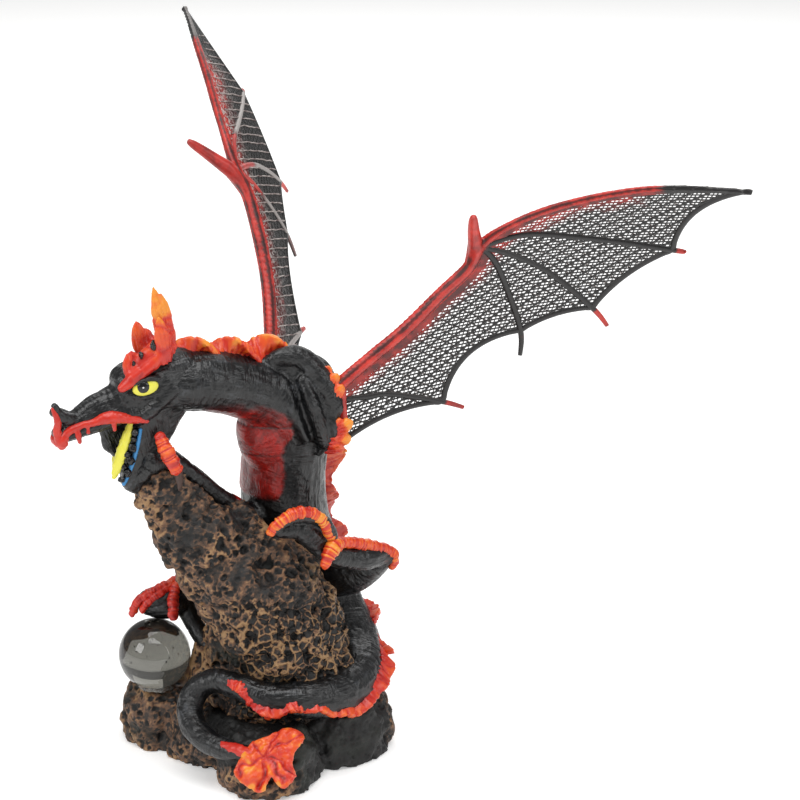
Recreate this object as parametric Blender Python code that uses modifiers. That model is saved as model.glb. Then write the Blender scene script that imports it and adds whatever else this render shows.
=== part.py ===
"""A winged dragon figurine on a lava rock, with a clear glass ball on its base.

The dragon, the rock and the base are one resin casting. The two wings are
soft plastic mouldings, each plugged into a socket in a shoulder. The ball is
solid glass and sits in a dish on the base.

The figure faces -X, turned towards -Y. The origin is the middle of the
underside and +Z is up.
"""

import math

import bmesh
import bpy
from mathutils import Matrix, Vector, noise
from mathutils.geometry import delaunay_2d_cdt

# Driving sizes in metres
FIGURE_RISE = 0.1235       # top of the base to the tip of the near ear horn
BASE_WIDTH = 0.077         # along X
BASE_DEPTH = 0.084         # along Y
BASE_HEIGHT = 0.018
BALL_DIAMETER = 0.0205
BALL_SINK = 0.0012         # how deep the ball sits in its dish
WING_REACH = 0.1234        # wing root to wing tip
MEMBRANE_THICKNESS = 0.0011
ARM_DIAMETER = 0.0042      # wing arm, root to wrist
FINGER_DIAMETER = 0.0019
PEG_DIAMETER = 0.0046      # plug at each wing root
PEG_LENGTH = 0.0070
FIT_CLEARANCE = 0.0004     # round the pegs, the wing roots and the ball

# Mesh settings
FORM_CELL = 0.00100        # cell of the remesh that joins the casting
CASTING_FACES = 6300
BALL_SEGMENTS = 20

# The rock's lumps, how square the boulders are (1 is an egg), and the share of
# its height at which a boulder is widest
ROCK_LUMP = 0.0075
ROCK_DEPTH = 0.0026
SQUARENESS = 0.55
BOULDER_WAIST = 0.35
# Where the ball sits, as shares of the base's width and depth
BALL_SEAT = (-0.388, -0.072)

# The free form is drawn in millimetres on a figure of these sizes
DRAWN_RISE = 123.5
DRAWN_BASE = 18.0
DRAWN_WING = 123.4
FIGURE_UNIT = FIGURE_RISE / DRAWN_RISE
WING_UNIT = WING_REACH / DRAWN_WING

# Fins, horns and leaf lobes: drawn thickness of the fins and of the leaf, how
# much of a blade's swell is hidden in its root, and how it fills out
CREST_THICKNESS = 2.8
LEAF_THICKNESS = 3.0
BLADE_HIDDEN = 0.22
BLADE_LEAN = 1.25
BLADE_FULLNESS = 0.75

# Directions of the head: forwards, to its near side, and up
HEAD_PLACE = (-24.0, -22.0, 114.0)
HEAD_FORWARD = Vector((-0.870, -0.420, -0.260)).normalized()
HEAD_SIDE = Vector((0.434, -0.901, 0.001)).normalized()
HEAD_UP = HEAD_FORWARD.cross(HEAD_SIDE).normalized()

# Each wing: its root on the figure, and the directions from wrist to tip and
# from leading edge to trailing edge, and the side that the membrane bows to
WINGS = {
    "left_wing": {
        "root": (23.0, -9.2, 109.9),
        "along": Vector((0.951, -0.163, 0.263)),
        "down": Vector((0.308, 0.418, -0.854)),
        "bow": -1.0,
    },
    "right_wing": {
        "root": (3.1, 11.0, 109.9),
        "along": Vector((-0.258, 0.845, 0.470)),
        "down": Vector((0.428, 0.515, -0.743)),
        "bow": 1.0,
    },
}

# Wing drawing, flat, in millimetres from the wrist: along the span, then
# towards the trailing edge
WING_ROOT = (-48.3, 24.7)
ROOT_END = (-52.3, 43.0)
WRIST = (-0.4, 1.0)
WING_TIP = (73.6, 2.6)
ARM = ((-48.3, 26.2), (-38.9, 22.9), (-27.0, 18.2), (-14.8, 10.6), WRIST)
LEADING_EDGE = (WRIST, (8.0, -2.9), (24.2, -5.3), (49.0, -4.1), WING_TIP)
# Along, towards the trailing edge, and lifted off the sheet
THUMB = ((-1.0, 0.0, 0.5), (0.6, -7.6, 2.6), (3.2, -16.0, 5.2))
FINGERS = (
    ((0.0, 1.0), (12.0, 1.6), (25.8, 8.4), (48.5, 20.8), (51.6, 22.2)),
    ((0.0, 1.0), (6.5, 7.2), (14.0, 17.2), (22.0, 34.0), (24.3, 41.4)),
    ((0.0, 1.0), (1.8, 8.0), (2.0, 18.3), (1.4, 33.8), (-1.0, 41.6)),
    ((-48.7, 31.4), (-43.0, 34.0), (-37.2, 36.6), (-25.0, 46.0), (-20.2, 50.4)),
)
# How far each stretch of trailing edge is drawn in between two finger ends
TRAILING_PULL = (4.6, 1.8, 1.5, 5.6, 2.2)
# Shares of the arm's and the fingers' radius along each bone
FRONT_TAPER = (1.0, 1.0, 1.02, 1.0, 0.96, 0.88, 0.70, 0.52, 0.34)
THUMB_TAPER = (0.8, 0.62, 0.25)
ROOT_TAPER = (0.95, 0.5)
FINGER_TAPER = (1.1, 1.1, 1.05, 1.0, 0.75)
# Grid of points that the sheet is bent by, and where the plug starts and points
SHEET_CORNER = (-58.0, -8.0)
SHEET_SPAN = (140.0, 60.0)
SHEET_SPACING = 9.0
PEG_START = (-48.0, 29.5)
PEG_AIM = (8.5, 1.5, 101.0)
PEG_TAPER = 0.94


def clear_scene():
    for item in list(bpy.data.objects):
        bpy.data.objects.remove(item)
    for group in list(bpy.data.collections):
        bpy.data.collections.remove(group)


def new_collection(name):
    group = bpy.data.collections.new(name)
    bpy.context.scene.collection.children.link(group)
    return group


def material(name, colour, roughness, transmission=0.0):
    made = bpy.data.materials.new(name)
    made.use_nodes = True
    shader = made.node_tree.nodes["Principled BSDF"]
    shader.inputs["Base Color"].default_value = (*colour, 1.0)
    shader.inputs["Roughness"].default_value = roughness
    shader.inputs["Metallic"].default_value = 0.0
    shader.inputs["Transmission Weight"].default_value = transmission
    made.diffuse_color = (*colour, 1.0)
    return made


def at(x, y, z):
    """A point of the figure, drawn in millimetres above the table."""
    return Vector((x, y, z - DRAWN_BASE)) * FIGURE_UNIT + Vector((0.0, 0.0, BASE_HEIGHT))


def on_head(forward, side, up):
    """A point of the head, drawn in millimetres from the head's own place."""
    offset = HEAD_FORWARD * forward + HEAD_SIDE * side + HEAD_UP * up
    return at(*(Vector(HEAD_PLACE) + offset))


def smooth_path(points, steps):
    """A smooth curve through the points, each a tuple of any length."""
    path = []
    last = len(points) - 1
    for index in range(last):
        before = points[max(index - 1, 0)]
        start = points[index]
        end = points[index + 1]
        after = points[min(index + 2, last)]
        for step in range(steps):
            t = step / steps
            path.append(tuple(
                0.5 * (2 * b + (c - a) * t + (2 * a - 5 * b + 4 * c - d) * t ** 2
                       + (3 * b - a - 3 * c + d) * t ** 3)
                for a, b, c, d in zip(before, start, end, after)))
    path.append(tuple(points[last]))
    return path


def object_from_mesh(name, mesh, group):
    made = bpy.data.objects.new(name, mesh)
    group.objects.link(made)
    return made


def tapered_tube(name, path, radii, group, resolution=2):
    """A round tube of changing radius, as a closed mesh."""
    curve = bpy.data.curves.new(name, "CURVE")
    curve.dimensions = "3D"
    curve.bevel_depth = 1.0
    curve.bevel_resolution = resolution
    curve.use_fill_caps = True
    spline = curve.splines.new("POLY")
    spline.points.add(len(path) - 1)
    for point, place, radius in zip(spline.points, path, radii):
        point.co = (*place, 1.0)
        point.radius = radius
    drawn = bpy.data.objects.new(name + "_path", curve)
    group.objects.link(drawn)
    shown = drawn.evaluated_get(bpy.context.evaluated_depsgraph_get())
    mesh = bpy.data.meshes.new_from_object(shown)
    bpy.data.objects.remove(drawn)
    weld(mesh)
    return object_from_mesh(name, mesh, group)


def weld(mesh):
    body = bmesh.new()
    body.from_mesh(mesh)
    bmesh.ops.remove_doubles(body, verts=body.verts, dist=0.00001)
    bmesh.ops.recalc_face_normals(body, faces=body.faces)
    body.to_mesh(mesh)
    body.free()


def limb(stations, group, steps=4, place=at, resolution=2):
    """A tapered limb with round ends, through (x, y, z, radius) stations."""
    path = smooth_path(stations, steps)
    points = [place(*station[:3]) for station in path]
    radii = [station[3] * FIGURE_UNIT for station in path]
    forms = [tapered_tube("limb", points, radii, group, resolution)]
    for end in (0, -1):
        forms.append(ball("limb_end", points[end], (radii[end],) * 3, group))
    return forms


def ball(name, centre, radii, group):
    """A ball or an egg of the given radii, in metres."""
    body = bmesh.new()
    bmesh.ops.create_icosphere(body, subdivisions=3, radius=1.0)
    shape = Matrix.Diagonal((*radii, 1.0))
    bmesh.ops.transform(body, matrix=Matrix.Translation(centre) @ shape, verts=body.verts)
    mesh = bpy.data.meshes.new(name)
    body.to_mesh(mesh)
    body.free()
    return object_from_mesh(name, mesh, group)


def swelling(centre, radii, group, place=at):
    """An egg-shaped swelling of the figure, drawn in millimetres."""
    ball("swelling", place(*centre), [r * FIGURE_UNIT for r in radii], group)


def frame_from(long_way, thin_way):
    """Axes for a blade: X thin, Z along its length."""
    z = long_way.normalized()
    x = (thin_way - z * thin_way.dot(z)).normalized()
    return Matrix((x, z.cross(x), z)).transposed()


def blade(root, tip, width, thickness, thin_way, group, place=at):
    """A leaf-shaped blade from its root to its tip, drawn in millimetres."""
    start = place(*root)
    end = place(*tip)
    along = end - start
    body = bmesh.new()
    bmesh.ops.create_uvsphere(body, u_segments=16, v_segments=12, radius=1.0)
    for vert in body.verts:
        share = (vert.co.z + 1.0) / 2.0
        reach = min(1.0, BLADE_HIDDEN + share * (1.0 - BLADE_HIDDEN))
        full = math.sin(math.pi * reach ** BLADE_LEAN) ** BLADE_FULLNESS
        ring = math.sqrt(max(1e-6, 1.0 - vert.co.z ** 2))
        vert.co.x *= full / ring * thickness / 2.0 * FIGURE_UNIT
        vert.co.y *= full / ring * width / 2.0 * FIGURE_UNIT
        vert.co.z = share * along.length
    turn = frame_from(along, thin_way)
    bmesh.ops.transform(body, matrix=Matrix.Translation(start) @ turn.to_4x4(), verts=body.verts)
    mesh = bpy.data.meshes.new("blade")
    body.to_mesh(mesh)
    body.free()
    weld(mesh)
    return object_from_mesh("blade", mesh, group)


def make_spine(group):
    """Neck, trunk and the tail that coils round the front of the base."""
    limb((
        (-27.0, -23.5, 114.5, 7.0), (-20.0, -21.5, 113.5, 8.3), (-13.4, -19.0, 112.9, 8.6),
        (-6.3, -14.0, 110.5, 8.9), (1.2, -8.0, 106.5, 9.8), (7.0, -3.0, 101.0, 11.6),
        (8.3, 0.0, 92.1, 12.0), (7.2, 1.0, 81.4, 12.0), (7.0, 3.0, 70.2, 12.2),
        (8.6, 8.0, 57.8, 12.6), (12.0, 14.0, 44.9, 12.6), (18.3, 12.0, 33.4, 11.6),
        (24.6, 3.0, 25.2, 10.4), (27.0, -10.0, 22.2, 8.6), (22.6, -22.0, 21.6, 6.9),
        (13.5, -28.5, 22.4, 5.6), (3.8, -30.5, 23.6, 4.6), (-4.6, -28.5, 26.0, 3.8),
        (-12.0, -25.0, 26.6, 3.5), (-17.2, -24.0, 23.0, 3.7), (-18.9, -27.0, 18.0, 3.8),
        (-16.2, -33.0, 14.0, 3.6), (-9.3, -39.5, 12.3, 3.1), (-2.0, -44.0, 13.0, 2.2),
    ), group)
    # Shoulders, where the wings plug in, and the chest between them
    swelling((14.5, -4.5, 104.0), (8.6, 8.4, 12.0), group)
    swelling((4.0, 5.5, 104.0), (9.0, 7.5, 11.5), group)
    swelling((3.0, -5.5, 94.0), (8.5, 8.0, 12.0), group)
    swelling((18.5, -7.5, 97.5), (5.0, 5.0, 8.0), group)


def make_head(group):
    """Skull, snout, open jaws, brows and nostril horns."""
    swelling((3.0, 0.0, 0.5), (9.0, 9.4, 8.2), group, place=on_head)
    limb((
        (6.0, 0.0, 0.3, 7.2), (13.0, 0.0, 0.4, 5.2), (20.0, 0.0, 0.3, 3.5),
        (26.5, 0.0, -0.9, 2.9), (32.0, 0.0, -1.9, 3.0), (33.6, 0.0, -3.2, 2.0),
    ), group, place=on_head)
    # Lower jaw, hanging open
    limb((
        (4.5, 0.0, -6.5, 6.2), (9.5, 0.0, -13.0, 5.0), (14.0, 0.0, -19.5, 4.0), (17.5, 0.0, -25.0, 2.7),
    ), group, place=on_head)
    # Cheek web inside the jaws, on the far side
    swelling((17.0, -3.0, -11.5), (4.4, 3.0, 5.0), group, place=on_head)
    swelling((12.0, -2.0, -7.5), (5.0, 4.0, 5.0), group, place=on_head)
    for side in (-1.0, 1.0):
        limb(((29.8, 2.0 * side, 0.5, 1.5), (31.4, 2.6 * side, 3.6, 1.2), (32.0, 3.0 * side, 6.6, 0.9)),
             group, place=on_head)
        # Lips along both jaws
        limb(((32.0, 2.4 * side, -0.6, 1.2), (25.0, 3.2 * side, -1.6, 1.2), (18.5, 4.8 * side, -1.8, 1.6),
              (11.0, 6.6 * side, -4.5, 1.3)), group, place=on_head)
        limb(((9.0, 5.6 * side, -8.6, 1.7), (14.5, 4.6 * side, -15.2, 1.5), (20.0, 2.4 * side, -22.6, 1.2)),
             group, place=on_head)
        # Brow ridge running back into the root of the ear horn
        limb(((13.6, 4.6 * side, 4.4, 1.5), (9.0, 6.2 * side, 6.0, 2.0), (3.5, 7.2 * side, 7.6, 2.2),
              (-1.0, 6.4 * side, 11.0, 2.2)), group, place=on_head)
        blade((8.0, 4.4 * side, 4.6), (7.6, 4.2 * side, 11.6), 4.2, 2.6, HEAD_SIDE, group, place=on_head)
        swelling((8.4, 6.4 * side, 3.2), (2.6, 1.6, 1.6), group, place=on_head)
    # Ear horns: the near one stands tall, the far one leans forwards
    blade((-1.4, 5.8, 7.0), (-2.0, 7.2, 29.3), 6.2, 3.2, HEAD_SIDE, group, place=on_head)
    blade((1.0, 6.6, 8.0), (0.0, 7.6, 20.0), 4.6, 2.6, HEAD_SIDE, group, place=on_head)
    blade((2.0, -5.6, 5.0), (1.2, -6.6, 17.6), 7.0, 3.0, HEAD_SIDE, group, place=on_head)


def crest_row(lobes, thin_way, group):
    for root, tip, width in lobes:
        blade(root, tip, width, CREST_THICKNESS, thin_way, group)


def make_crests(group):
    """Wavy fins on the neck and the shoulders, up the back and on the tail."""
    crest_row((
        ((-17.0, -19.5, 117.5), (-15.0, -19.0, 127.0), 9.5), ((-11.0, -17.5, 116.5), (-7.0, -16.0, 125.4), 9.0),
        ((-4.5, -13.0, 115.0), (-1.5, -12.0, 126.2), 9.5), ((2.5, -7.5, 112.5), (6.5, -5.0, 126.0), 11.0),
        ((6.5, -4.0, 108.5), (10.5, -0.5, 119.0), 9.0),
    ), Vector((0.5, -0.86, 0.0)), group)
    crest_row((
        ((14.0, 9.0, 88.0), (23.5, 15.0, 91.0), 10.0), ((14.0, 11.0, 77.0), (25.0, 16.5, 80.0), 11.0),
        ((14.0, 14.0, 65.0), (22.0, 19.0, 66.5), 10.0), ((16.0, 19.0, 53.0), (24.0, 25.5, 54.0), 10.0),
        ((20.0, 17.0, 41.0), (26.8, 21.4, 41.6), 10.0), ((26.0, 9.0, 32.0), (33.2, 12.5, 34.0), 9.0),
        ((31.0, -2.0, 25.0), (36.8, -3.0, 27.5), 8.0),
    ), Vector((0.70, -0.70, 0.2)), group)
    crest_row((
        ((25.0, -17.0, 24.0), (28.0, -21.5, 28.5), 8.0), ((17.0, -27.0, 25.0), (18.0, -31.0, 28.8), 8.5),
        ((7.0, -31.0, 25.0), (7.0, -35.0, 28.6), 8.5), ((-3.0, -30.0, 27.0), (-4.0, -33.5, 30.4), 7.0),
    ), Vector((-0.3, 0.85, 0.4)), group)
    # Flame-like tufts round the near wing root and behind the shoulder
    for root, tip in (((18.5, -8.0, 107.5), (23.5, -10.0, 113.5)), ((19.0, -9.0, 93.0), (26.5, -9.5, 97.5)),
                      ((19.5, -6.0, 89.0), (27.0, -5.0, 91.5))):
        blade(root, tip, 5.5, CREST_THICKNESS, Vector((0.3, -0.9, 0.0)), group)


def make_near_leg(group):
    """The near hind leg, folded, with its foot holding the rock."""
    limb(((12.0, 6.0, 50.0, 9.0), (18.0, 5.0, 49.5, 9.0), (25.5, 1.0, 50.5, 7.8), (32.5, -4.0, 54.5, 5.0),
          (36.3, -6.0, 57.0, 2.8)), group)
    limb(((36.3, -6.0, 57.3, 2.4), (31.0, -12.0, 58.6, 3.6), (24.5, -17.0, 60.4, 3.5), (19.5, -20.5, 63.8, 3.6)),
         group)
    limb(((21.0, -22.0, 64.5, 2.0), (20.8, -23.5, 70.7, 1.8), (17.4, -25.5, 75.6, 2.0), (12.0, -28.5, 77.4, 2.0),
          (7.9, -30.5, 76.4, 1.8), (4.9, -31.5, 73.8, 1.4)), group)
    limb(((18.0, -22.0, 65.5, 3.4), (12.5, -25.0, 71.5, 3.2), (7.0, -27.0, 72.0, 2.4)), group)
    limb(((21.4, -22.5, 64.8, 2.2), (20.0, -26.0, 64.6, 2.4), (18.2, -28.0, 61.5, 1.6)), group)


def make_far_leg(group):
    """The far hind leg, reaching down to the left, with its toes spread."""
    limb(((4.0, 10.0, 55.0, 9.0), (-6.0, 11.0, 49.5, 6.5), (-13.2, 8.0, 45.4, 4.6), (-18.5, 3.5, 44.0, 4.0),
          (-23.2, 0.0, 44.2, 3.6)), group)
    limb(((-23.0, 0.0, 43.5, 3.4), (-19.6, -2.5, 36.6, 2.8), (-15.4, -6.0, 30.8, 2.8), (-12.0, -8.0, 27.0, 3.0)),
         group)
    limb(((-23.6, -2.0, 47.0, 1.9), (-27.4, -4.5, 46.0, 1.8), (-31.6, -6.0, 44.6, 1.8), (-34.8, -6.5, 42.2, 1.7),
          (-36.0, -6.5, 39.4, 1.3)), group)
    limb(((-24.4, -3.0, 46.8, 1.9), (-24.4, -7.5, 44.4, 1.9), (-24.0, -10.5, 40.8, 1.5)), group)
    swelling((-27.5, -2.0, 42.5), (5.0, 4.0, 3.4), group)


def make_foreleg(group):
    """The near foreleg, laid along the rock, with its paw under the chin."""
    limb(((4.0, -2.0, 80.0, 5.0), (1.5, -4.0, 71.0, 4.6), (-2.5, -8.0, 70.2, 3.4), (-8.8, -14.0, 75.8, 2.9),
          (-17.2, -21.0, 86.0, 2.7), (-23.4, -24.5, 91.6, 3.2), (-28.0, -26.5, 92.4, 4.0)), group)
    limb(((-27.7, -26.0, 92.2, 4.0), (-32.5, -26.0, 88.4, 3.6), (-35.0, -27.0, 91.0, 2.4)), group)
    limb(((-26.0, -31.5, 100.4, 1.9), (-23.4, -32.6, 97.0, 2.1), (-21.9, -32.4, 93.0, 1.9),
          (-20.8, -31.0, 89.5, 1.1), (-20.7, -30.0, 86.2, 0.8)), group)


def make_rock(group):
    """The porous rock under the paws, rising from the base to the chin."""
    column = (
        (-27.0, -23.0, 86.5, 5.2), (-23.5, -21.5, 80.5, 7.8), (-17.5, -19.5, 70.5, 11.4), (-8.0, -16.0, 59.5, 15.0),
        (0.5, -14.0, 48.5, 17.4), (6.5, -12.5, 37.0, 17.6), (7.5, -12.0, 26.0, 18.0), (4.0, -11.0, 18.0, 19.0),
    )
    # The rock also fills the space under the haunches, behind the column
    footing = ((3.0, 5.0, 47.0, 9.0), (5.5, 11.0, 33.0, 13.5), (8.0, 14.0, 18.0, 17.0))
    for stations in (column, footing):
        for form in limb(stations, group, steps=10, resolution=8):
            roughen(form, ROCK_LUMP, ROCK_DEPTH)


def boulder(name, x, y, width, depth, height, group):
    """A rounded boulder on the table: x to height are shares of the base."""
    body = bmesh.new()
    bmesh.ops.create_icosphere(body, subdivisions=5, radius=1.0)
    for vert in body.verts:
        flat = Vector((vert.co.x, vert.co.y))
        spread = flat.length ** (SQUARENESS - 1.0) if flat.length > 1e-6 else 0.0
        vert.co.x = x * BASE_WIDTH + vert.co.x * spread * width * BASE_WIDTH / 2.0
        vert.co.y = y * BASE_DEPTH + vert.co.y * spread * depth * BASE_DEPTH / 2.0
        rise = math.copysign(abs(vert.co.z) ** SQUARENESS, vert.co.z)
        vert.co.z = height * BASE_HEIGHT * (BOULDER_WAIST + (1.0 - BOULDER_WAIST) * rise)
    mesh = bpy.data.meshes.new(name)
    body.to_mesh(mesh)
    body.free()
    made = object_from_mesh(name, mesh, group)
    roughen(made, ROCK_LUMP, ROCK_DEPTH)
    return made


def make_base(group):
    """The base: boulders run together, flat below, with the ball's seat at the left."""
    for name, x, y, width, depth, height in (
            ("seat_boulder", -0.320, 0.010, 0.40, 0.37, 1.0),
            ("front_boulder", 0.042, -0.345, 0.37, 0.44, 0.86),
            ("right_boulder", 0.255, -0.085, 0.46, 0.46, 1.0),
            ("middle_boulder", 0.0, -0.100, 0.70, 0.54, 0.95),
            ("back_boulder", 0.080, 0.215, 0.66, 0.42, 1.0)):
        boulder(name, x, y, width, depth, height, group)


def roughen(target, size, depth):
    """Moves a surface in and out by smooth noise of the given lump size."""
    for vert in target.data.vertices:
        push = noise.noise(vert.co / size) + 0.5 * noise.noise(vert.co / size * 2.3)
        vert.co += vert.normal * push * depth


def make_leaf(group):
    """The leaf-shaped tip of the tail, lying on the front of the base."""
    face = Vector((-0.15, -0.85, 0.55))
    blade((-3.5, -41.5, 14.0), (9.5, -45.5, 16.2), 9.0, LEAF_THICKNESS, face, group)
    blade((-3.0, -42.5, 15.0), (5.0, -48.5, 3.5), 11.0, LEAF_THICKNESS, face, group)
    blade((-2.0, -42.0, 15.0), (-2.5, -48.0, 2.6), 9.0, LEAF_THICKNESS, face, group)


def ball_centre():
    radius = BALL_DIAMETER / 2.0
    return Vector((BALL_SEAT[0] * BASE_WIDTH, BALL_SEAT[1] * BASE_DEPTH, BASE_HEIGHT - BALL_SINK + radius))


def cup(p, q):
    """How far the wing bows out of its plane at a point of the drawing."""
    return -0.170 * p - 0.0775 * q + 0.00226 * p * p - 0.00115 * p * q + 0.00271 * q * q


def on_wing(wing, p, q, lift=0.0):
    along = wing["along"].normalized()
    down = (wing["down"] - along * wing["down"].dot(along)).normalized()
    face = along.cross(down) * wing["bow"]
    rise = cup(p, q) - cup(*WING_ROOT) + lift
    offset = along * (p - WING_ROOT[0]) + down * (q - WING_ROOT[1]) + face * rise
    return at(*wing["root"]) + offset * WING_UNIT


def trailing_edge():
    """Points from the wing tip back to the root end, drawn in between fingers."""
    ends = [WING_TIP] + [finger[-2] for finger in FINGERS] + [ROOT_END]
    points = []
    for (p0, q0), (p1, q1), pull in zip(ends, ends[1:], TRAILING_PULL):
        chord = math.hypot(p1 - p0, q1 - q0)
        inward = (-(q0 - q1) / chord, -(p1 - p0) / chord)
        if inward[1] > 0.0:
            inward = (-inward[0], -inward[1])
        for step in range(5):
            t = step / 5.0
            draw = 4.0 * t * (1.0 - t) * pull
            points.append((p0 + (p1 - p0) * t + inward[0] * draw, q0 + (q1 - q0) * t + inward[1] * draw))
    points.append(ROOT_END)
    return points


def inside(point, outline, margin):
    """True where the point is in the outline and not too near its edge."""
    x, y = point
    crossings = 0
    for (x0, y0), (x1, y1) in zip(outline, outline[1:] + outline[:1]):
        if (y0 > y) != (y1 > y) and x < x0 + (y - y0) * (x1 - x0) / (y1 - y0):
            crossings += 1
        span = max((x1 - x0) ** 2 + (y1 - y0) ** 2, 1e-9)
        t = min(1.0, max(0.0, ((x - x0) * (x1 - x0) + (y - y0) * (y1 - y0)) / span))
        if math.hypot(x - x0 - t * (x1 - x0), y - y0 - t * (y1 - y0)) < margin:
            return False
    return crossings % 2 == 1


def make_membrane(name, wing, group, grow=0.0):
    """The curved sheet of a wing, given its thickness by Solidify."""
    front = smooth_path(ARM, 2)[:-1] + smooth_path(LEADING_EDGE, 3)[:-1]
    outline = front + trailing_edge()
    points = [Vector(point) for point in outline]
    edges = [(i, (i + 1) % len(outline)) for i in range(len(outline))]
    columns, rows = [int(span / SHEET_SPACING) + 1 for span in SHEET_SPAN]
    for row in range(rows):
        for column in range(columns):
            along = SHEET_CORNER[0] + SHEET_SPACING * (column + 0.5 * (row % 2))
            down = SHEET_CORNER[1] + SHEET_SPACING * row
            if inside((along, down), outline, SHEET_SPACING * 0.4):
                points.append(Vector((along, down)))
    flat, _, faces, *_ = delaunay_2d_cdt(points, edges, [], 1, 1e-6)
    body = bmesh.new()
    verts = [body.verts.new(on_wing(wing, p.x, p.y)) for p in flat]
    for face in faces:
        body.faces.new([verts[index] for index in face])
    bmesh.ops.recalc_face_normals(body, faces=body.faces)
    mesh = bpy.data.meshes.new(name)
    body.to_mesh(mesh)
    body.free()
    sheet = object_from_mesh(name, mesh, group)
    solid = sheet.modifiers.new("Thickness", "SOLIDIFY")
    solid.thickness = MEMBRANE_THICKNESS + 2.0 * grow
    solid.offset = 0.0
    return sheet


def wing_bone(wing, points, radii, group, grow=0.0):
    """A bone of the wing, drawn on its surface, with its radii in metres."""
    stations = [(*point, 0.0)[:3] + (radius,) for point, radius in zip(points, radii)]
    path = smooth_path(stations, 2)
    places = [on_wing(wing, p, q, lift) for p, q, lift, _ in path]
    return tapered_tube("bone", places, [radius + grow for *_, radius in path], group, resolution=0)


def make_wing(name, wing, group, tools, grow=0.0):
    """One wing: sheet, arm, leading bone, thumb, fingers and root plug."""
    arm = ARM_DIAMETER / 2.0
    finger = FINGER_DIAMETER / 2.0
    sheet = make_membrane(name, wing, group, grow)
    bones = [wing_bone(wing, ARM + LEADING_EDGE[1:], [arm * share for share in FRONT_TAPER], tools, grow)]
    bones.append(wing_bone(wing, (WING_ROOT, ROOT_END), [arm * share for share in ROOT_TAPER], tools, grow))
    if not grow:
        bones.append(wing_bone(wing, THUMB, [arm * share for share in THUMB_TAPER], tools))
        for points in FINGERS:
            bones.append(wing_bone(wing, points, [finger * share for share in FINGER_TAPER], tools))
    bones.append(make_peg(wing, tools, grow))
    for bone in bones:
        union(sheet, bone)
    return sheet


def make_peg(wing, tools, grow):
    """The plug at the wing root, pointing into the shoulder."""
    start = on_wing(wing, *PEG_START)
    inwards = at(*PEG_AIM) - start
    end = start + inwards.normalized() * (PEG_LENGTH + grow)
    radius = PEG_DIAMETER / 2.0 + grow
    return tapered_tube("peg", [start, end], [radius, radius * PEG_TAPER], tools, resolution=2)


def union(target, tool):
    join = target.modifiers.new("Join", "BOOLEAN")
    join.operation = "UNION"
    join.solver = "EXACT"
    join.object = tool
    hide_tool(tool)


def cut(target, tool):
    away = target.modifiers.new("Cut", "BOOLEAN")
    away.operation = "DIFFERENCE"
    away.solver = "EXACT"
    away.object = tool
    hide_tool(tool)


def hide_tool(tool):
    tool.hide_render = True
    tool.display_type = "WIRE"


def join_forms(name, source, group):
    """All the forms of one collection joined into one closed body."""
    body = bmesh.new()
    for form in list(source.objects):
        body.from_mesh(form.data)
        bpy.data.objects.remove(form)
    mesh = bpy.data.meshes.new(name)
    body.to_mesh(mesh)
    body.free()
    whole = object_from_mesh(name, mesh, group)
    remesh = whole.modifiers.new("Cast", "REMESH")
    remesh.mode = "VOXEL"
    remesh.voxel_size = FORM_CELL
    soften = whole.modifiers.new("Soften", "SMOOTH")
    soften.factor = 0.5
    soften.iterations = 2
    reduce = whole.modifiers.new("Reduce", "DECIMATE")
    shown = whole.evaluated_get(bpy.context.evaluated_depsgraph_get())
    reduce.ratio = CASTING_FACES / (2.0 * len(shown.data.polygons))
    reduce.use_collapse_triangulate = True
    return whole


def make_casting(group, tools):
    forms = new_collection("forms")
    make_spine(forms)
    make_head(forms)
    make_crests(forms)
    make_near_leg(forms)
    make_far_leg(forms)
    make_foreleg(forms)
    make_rock(forms)
    make_base(forms)
    make_leaf(forms)
    casting = join_forms("dragon_on_rock", forms, group)
    bpy.data.collections.remove(forms)
    cut(casting, make_ground(tools))
    cut(casting, ball("dish_tool", ball_centre(), (BALL_DIAMETER / 2.0 + FIT_CLEARANCE,) * 3, tools))
    for name, wing in WINGS.items():
        cut(casting, make_wing(name + "_seat", wing, tools, tools, FIT_CLEARANCE))
    return casting


def make_ground(tools):
    """A block below the table, which cuts the underside flat."""
    size = 4.0 * max(BASE_WIDTH, BASE_DEPTH)
    body = bmesh.new()
    bmesh.ops.create_cube(body, size=size)
    bmesh.ops.translate(body, verts=body.verts, vec=(0.0, 0.0, -size / 2.0))
    mesh = bpy.data.meshes.new("ground_tool")
    body.to_mesh(mesh)
    body.free()
    return object_from_mesh("ground_tool", mesh, tools)


def make_glass_ball(group):
    bpy.ops.mesh.primitive_uv_sphere_add(
        segments=BALL_SEGMENTS, ring_count=BALL_SEGMENTS // 2, radius=BALL_DIAMETER / 2.0, location=ball_centre())
    glass = bpy.context.object
    glass.name = "glass_ball"
    for holder in list(glass.users_collection):
        holder.objects.unlink(glass)
    group.objects.link(glass)
    glass.data.shade_smooth()
    return glass


def main():
    clear_scene()
    figurine = new_collection("dragon_figurine")
    tools = new_collection("cutters")
    resin = material("painted_resin", (0.021, 0.022, 0.025), 0.42)
    plastic = material("soft_plastic", (0.30, 0.035, 0.028), 0.45)
    clear = material("clear_glass", (0.95, 0.97, 0.97), 0.03, transmission=1.0)
    casting = make_casting(figurine, tools)
    casting.data.materials.append(resin)
    for name, wing in WINGS.items():
        moulding = make_wing(name, wing, figurine, tools)
        moulding.data.materials.append(plastic)
    make_glass_ball(figurine).data.materials.append(clear)


main()
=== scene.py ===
import math

import bmesh
import bpy
from mathutils import Matrix, Vector, noise
from mathutils.kdtree import KDTree


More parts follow.
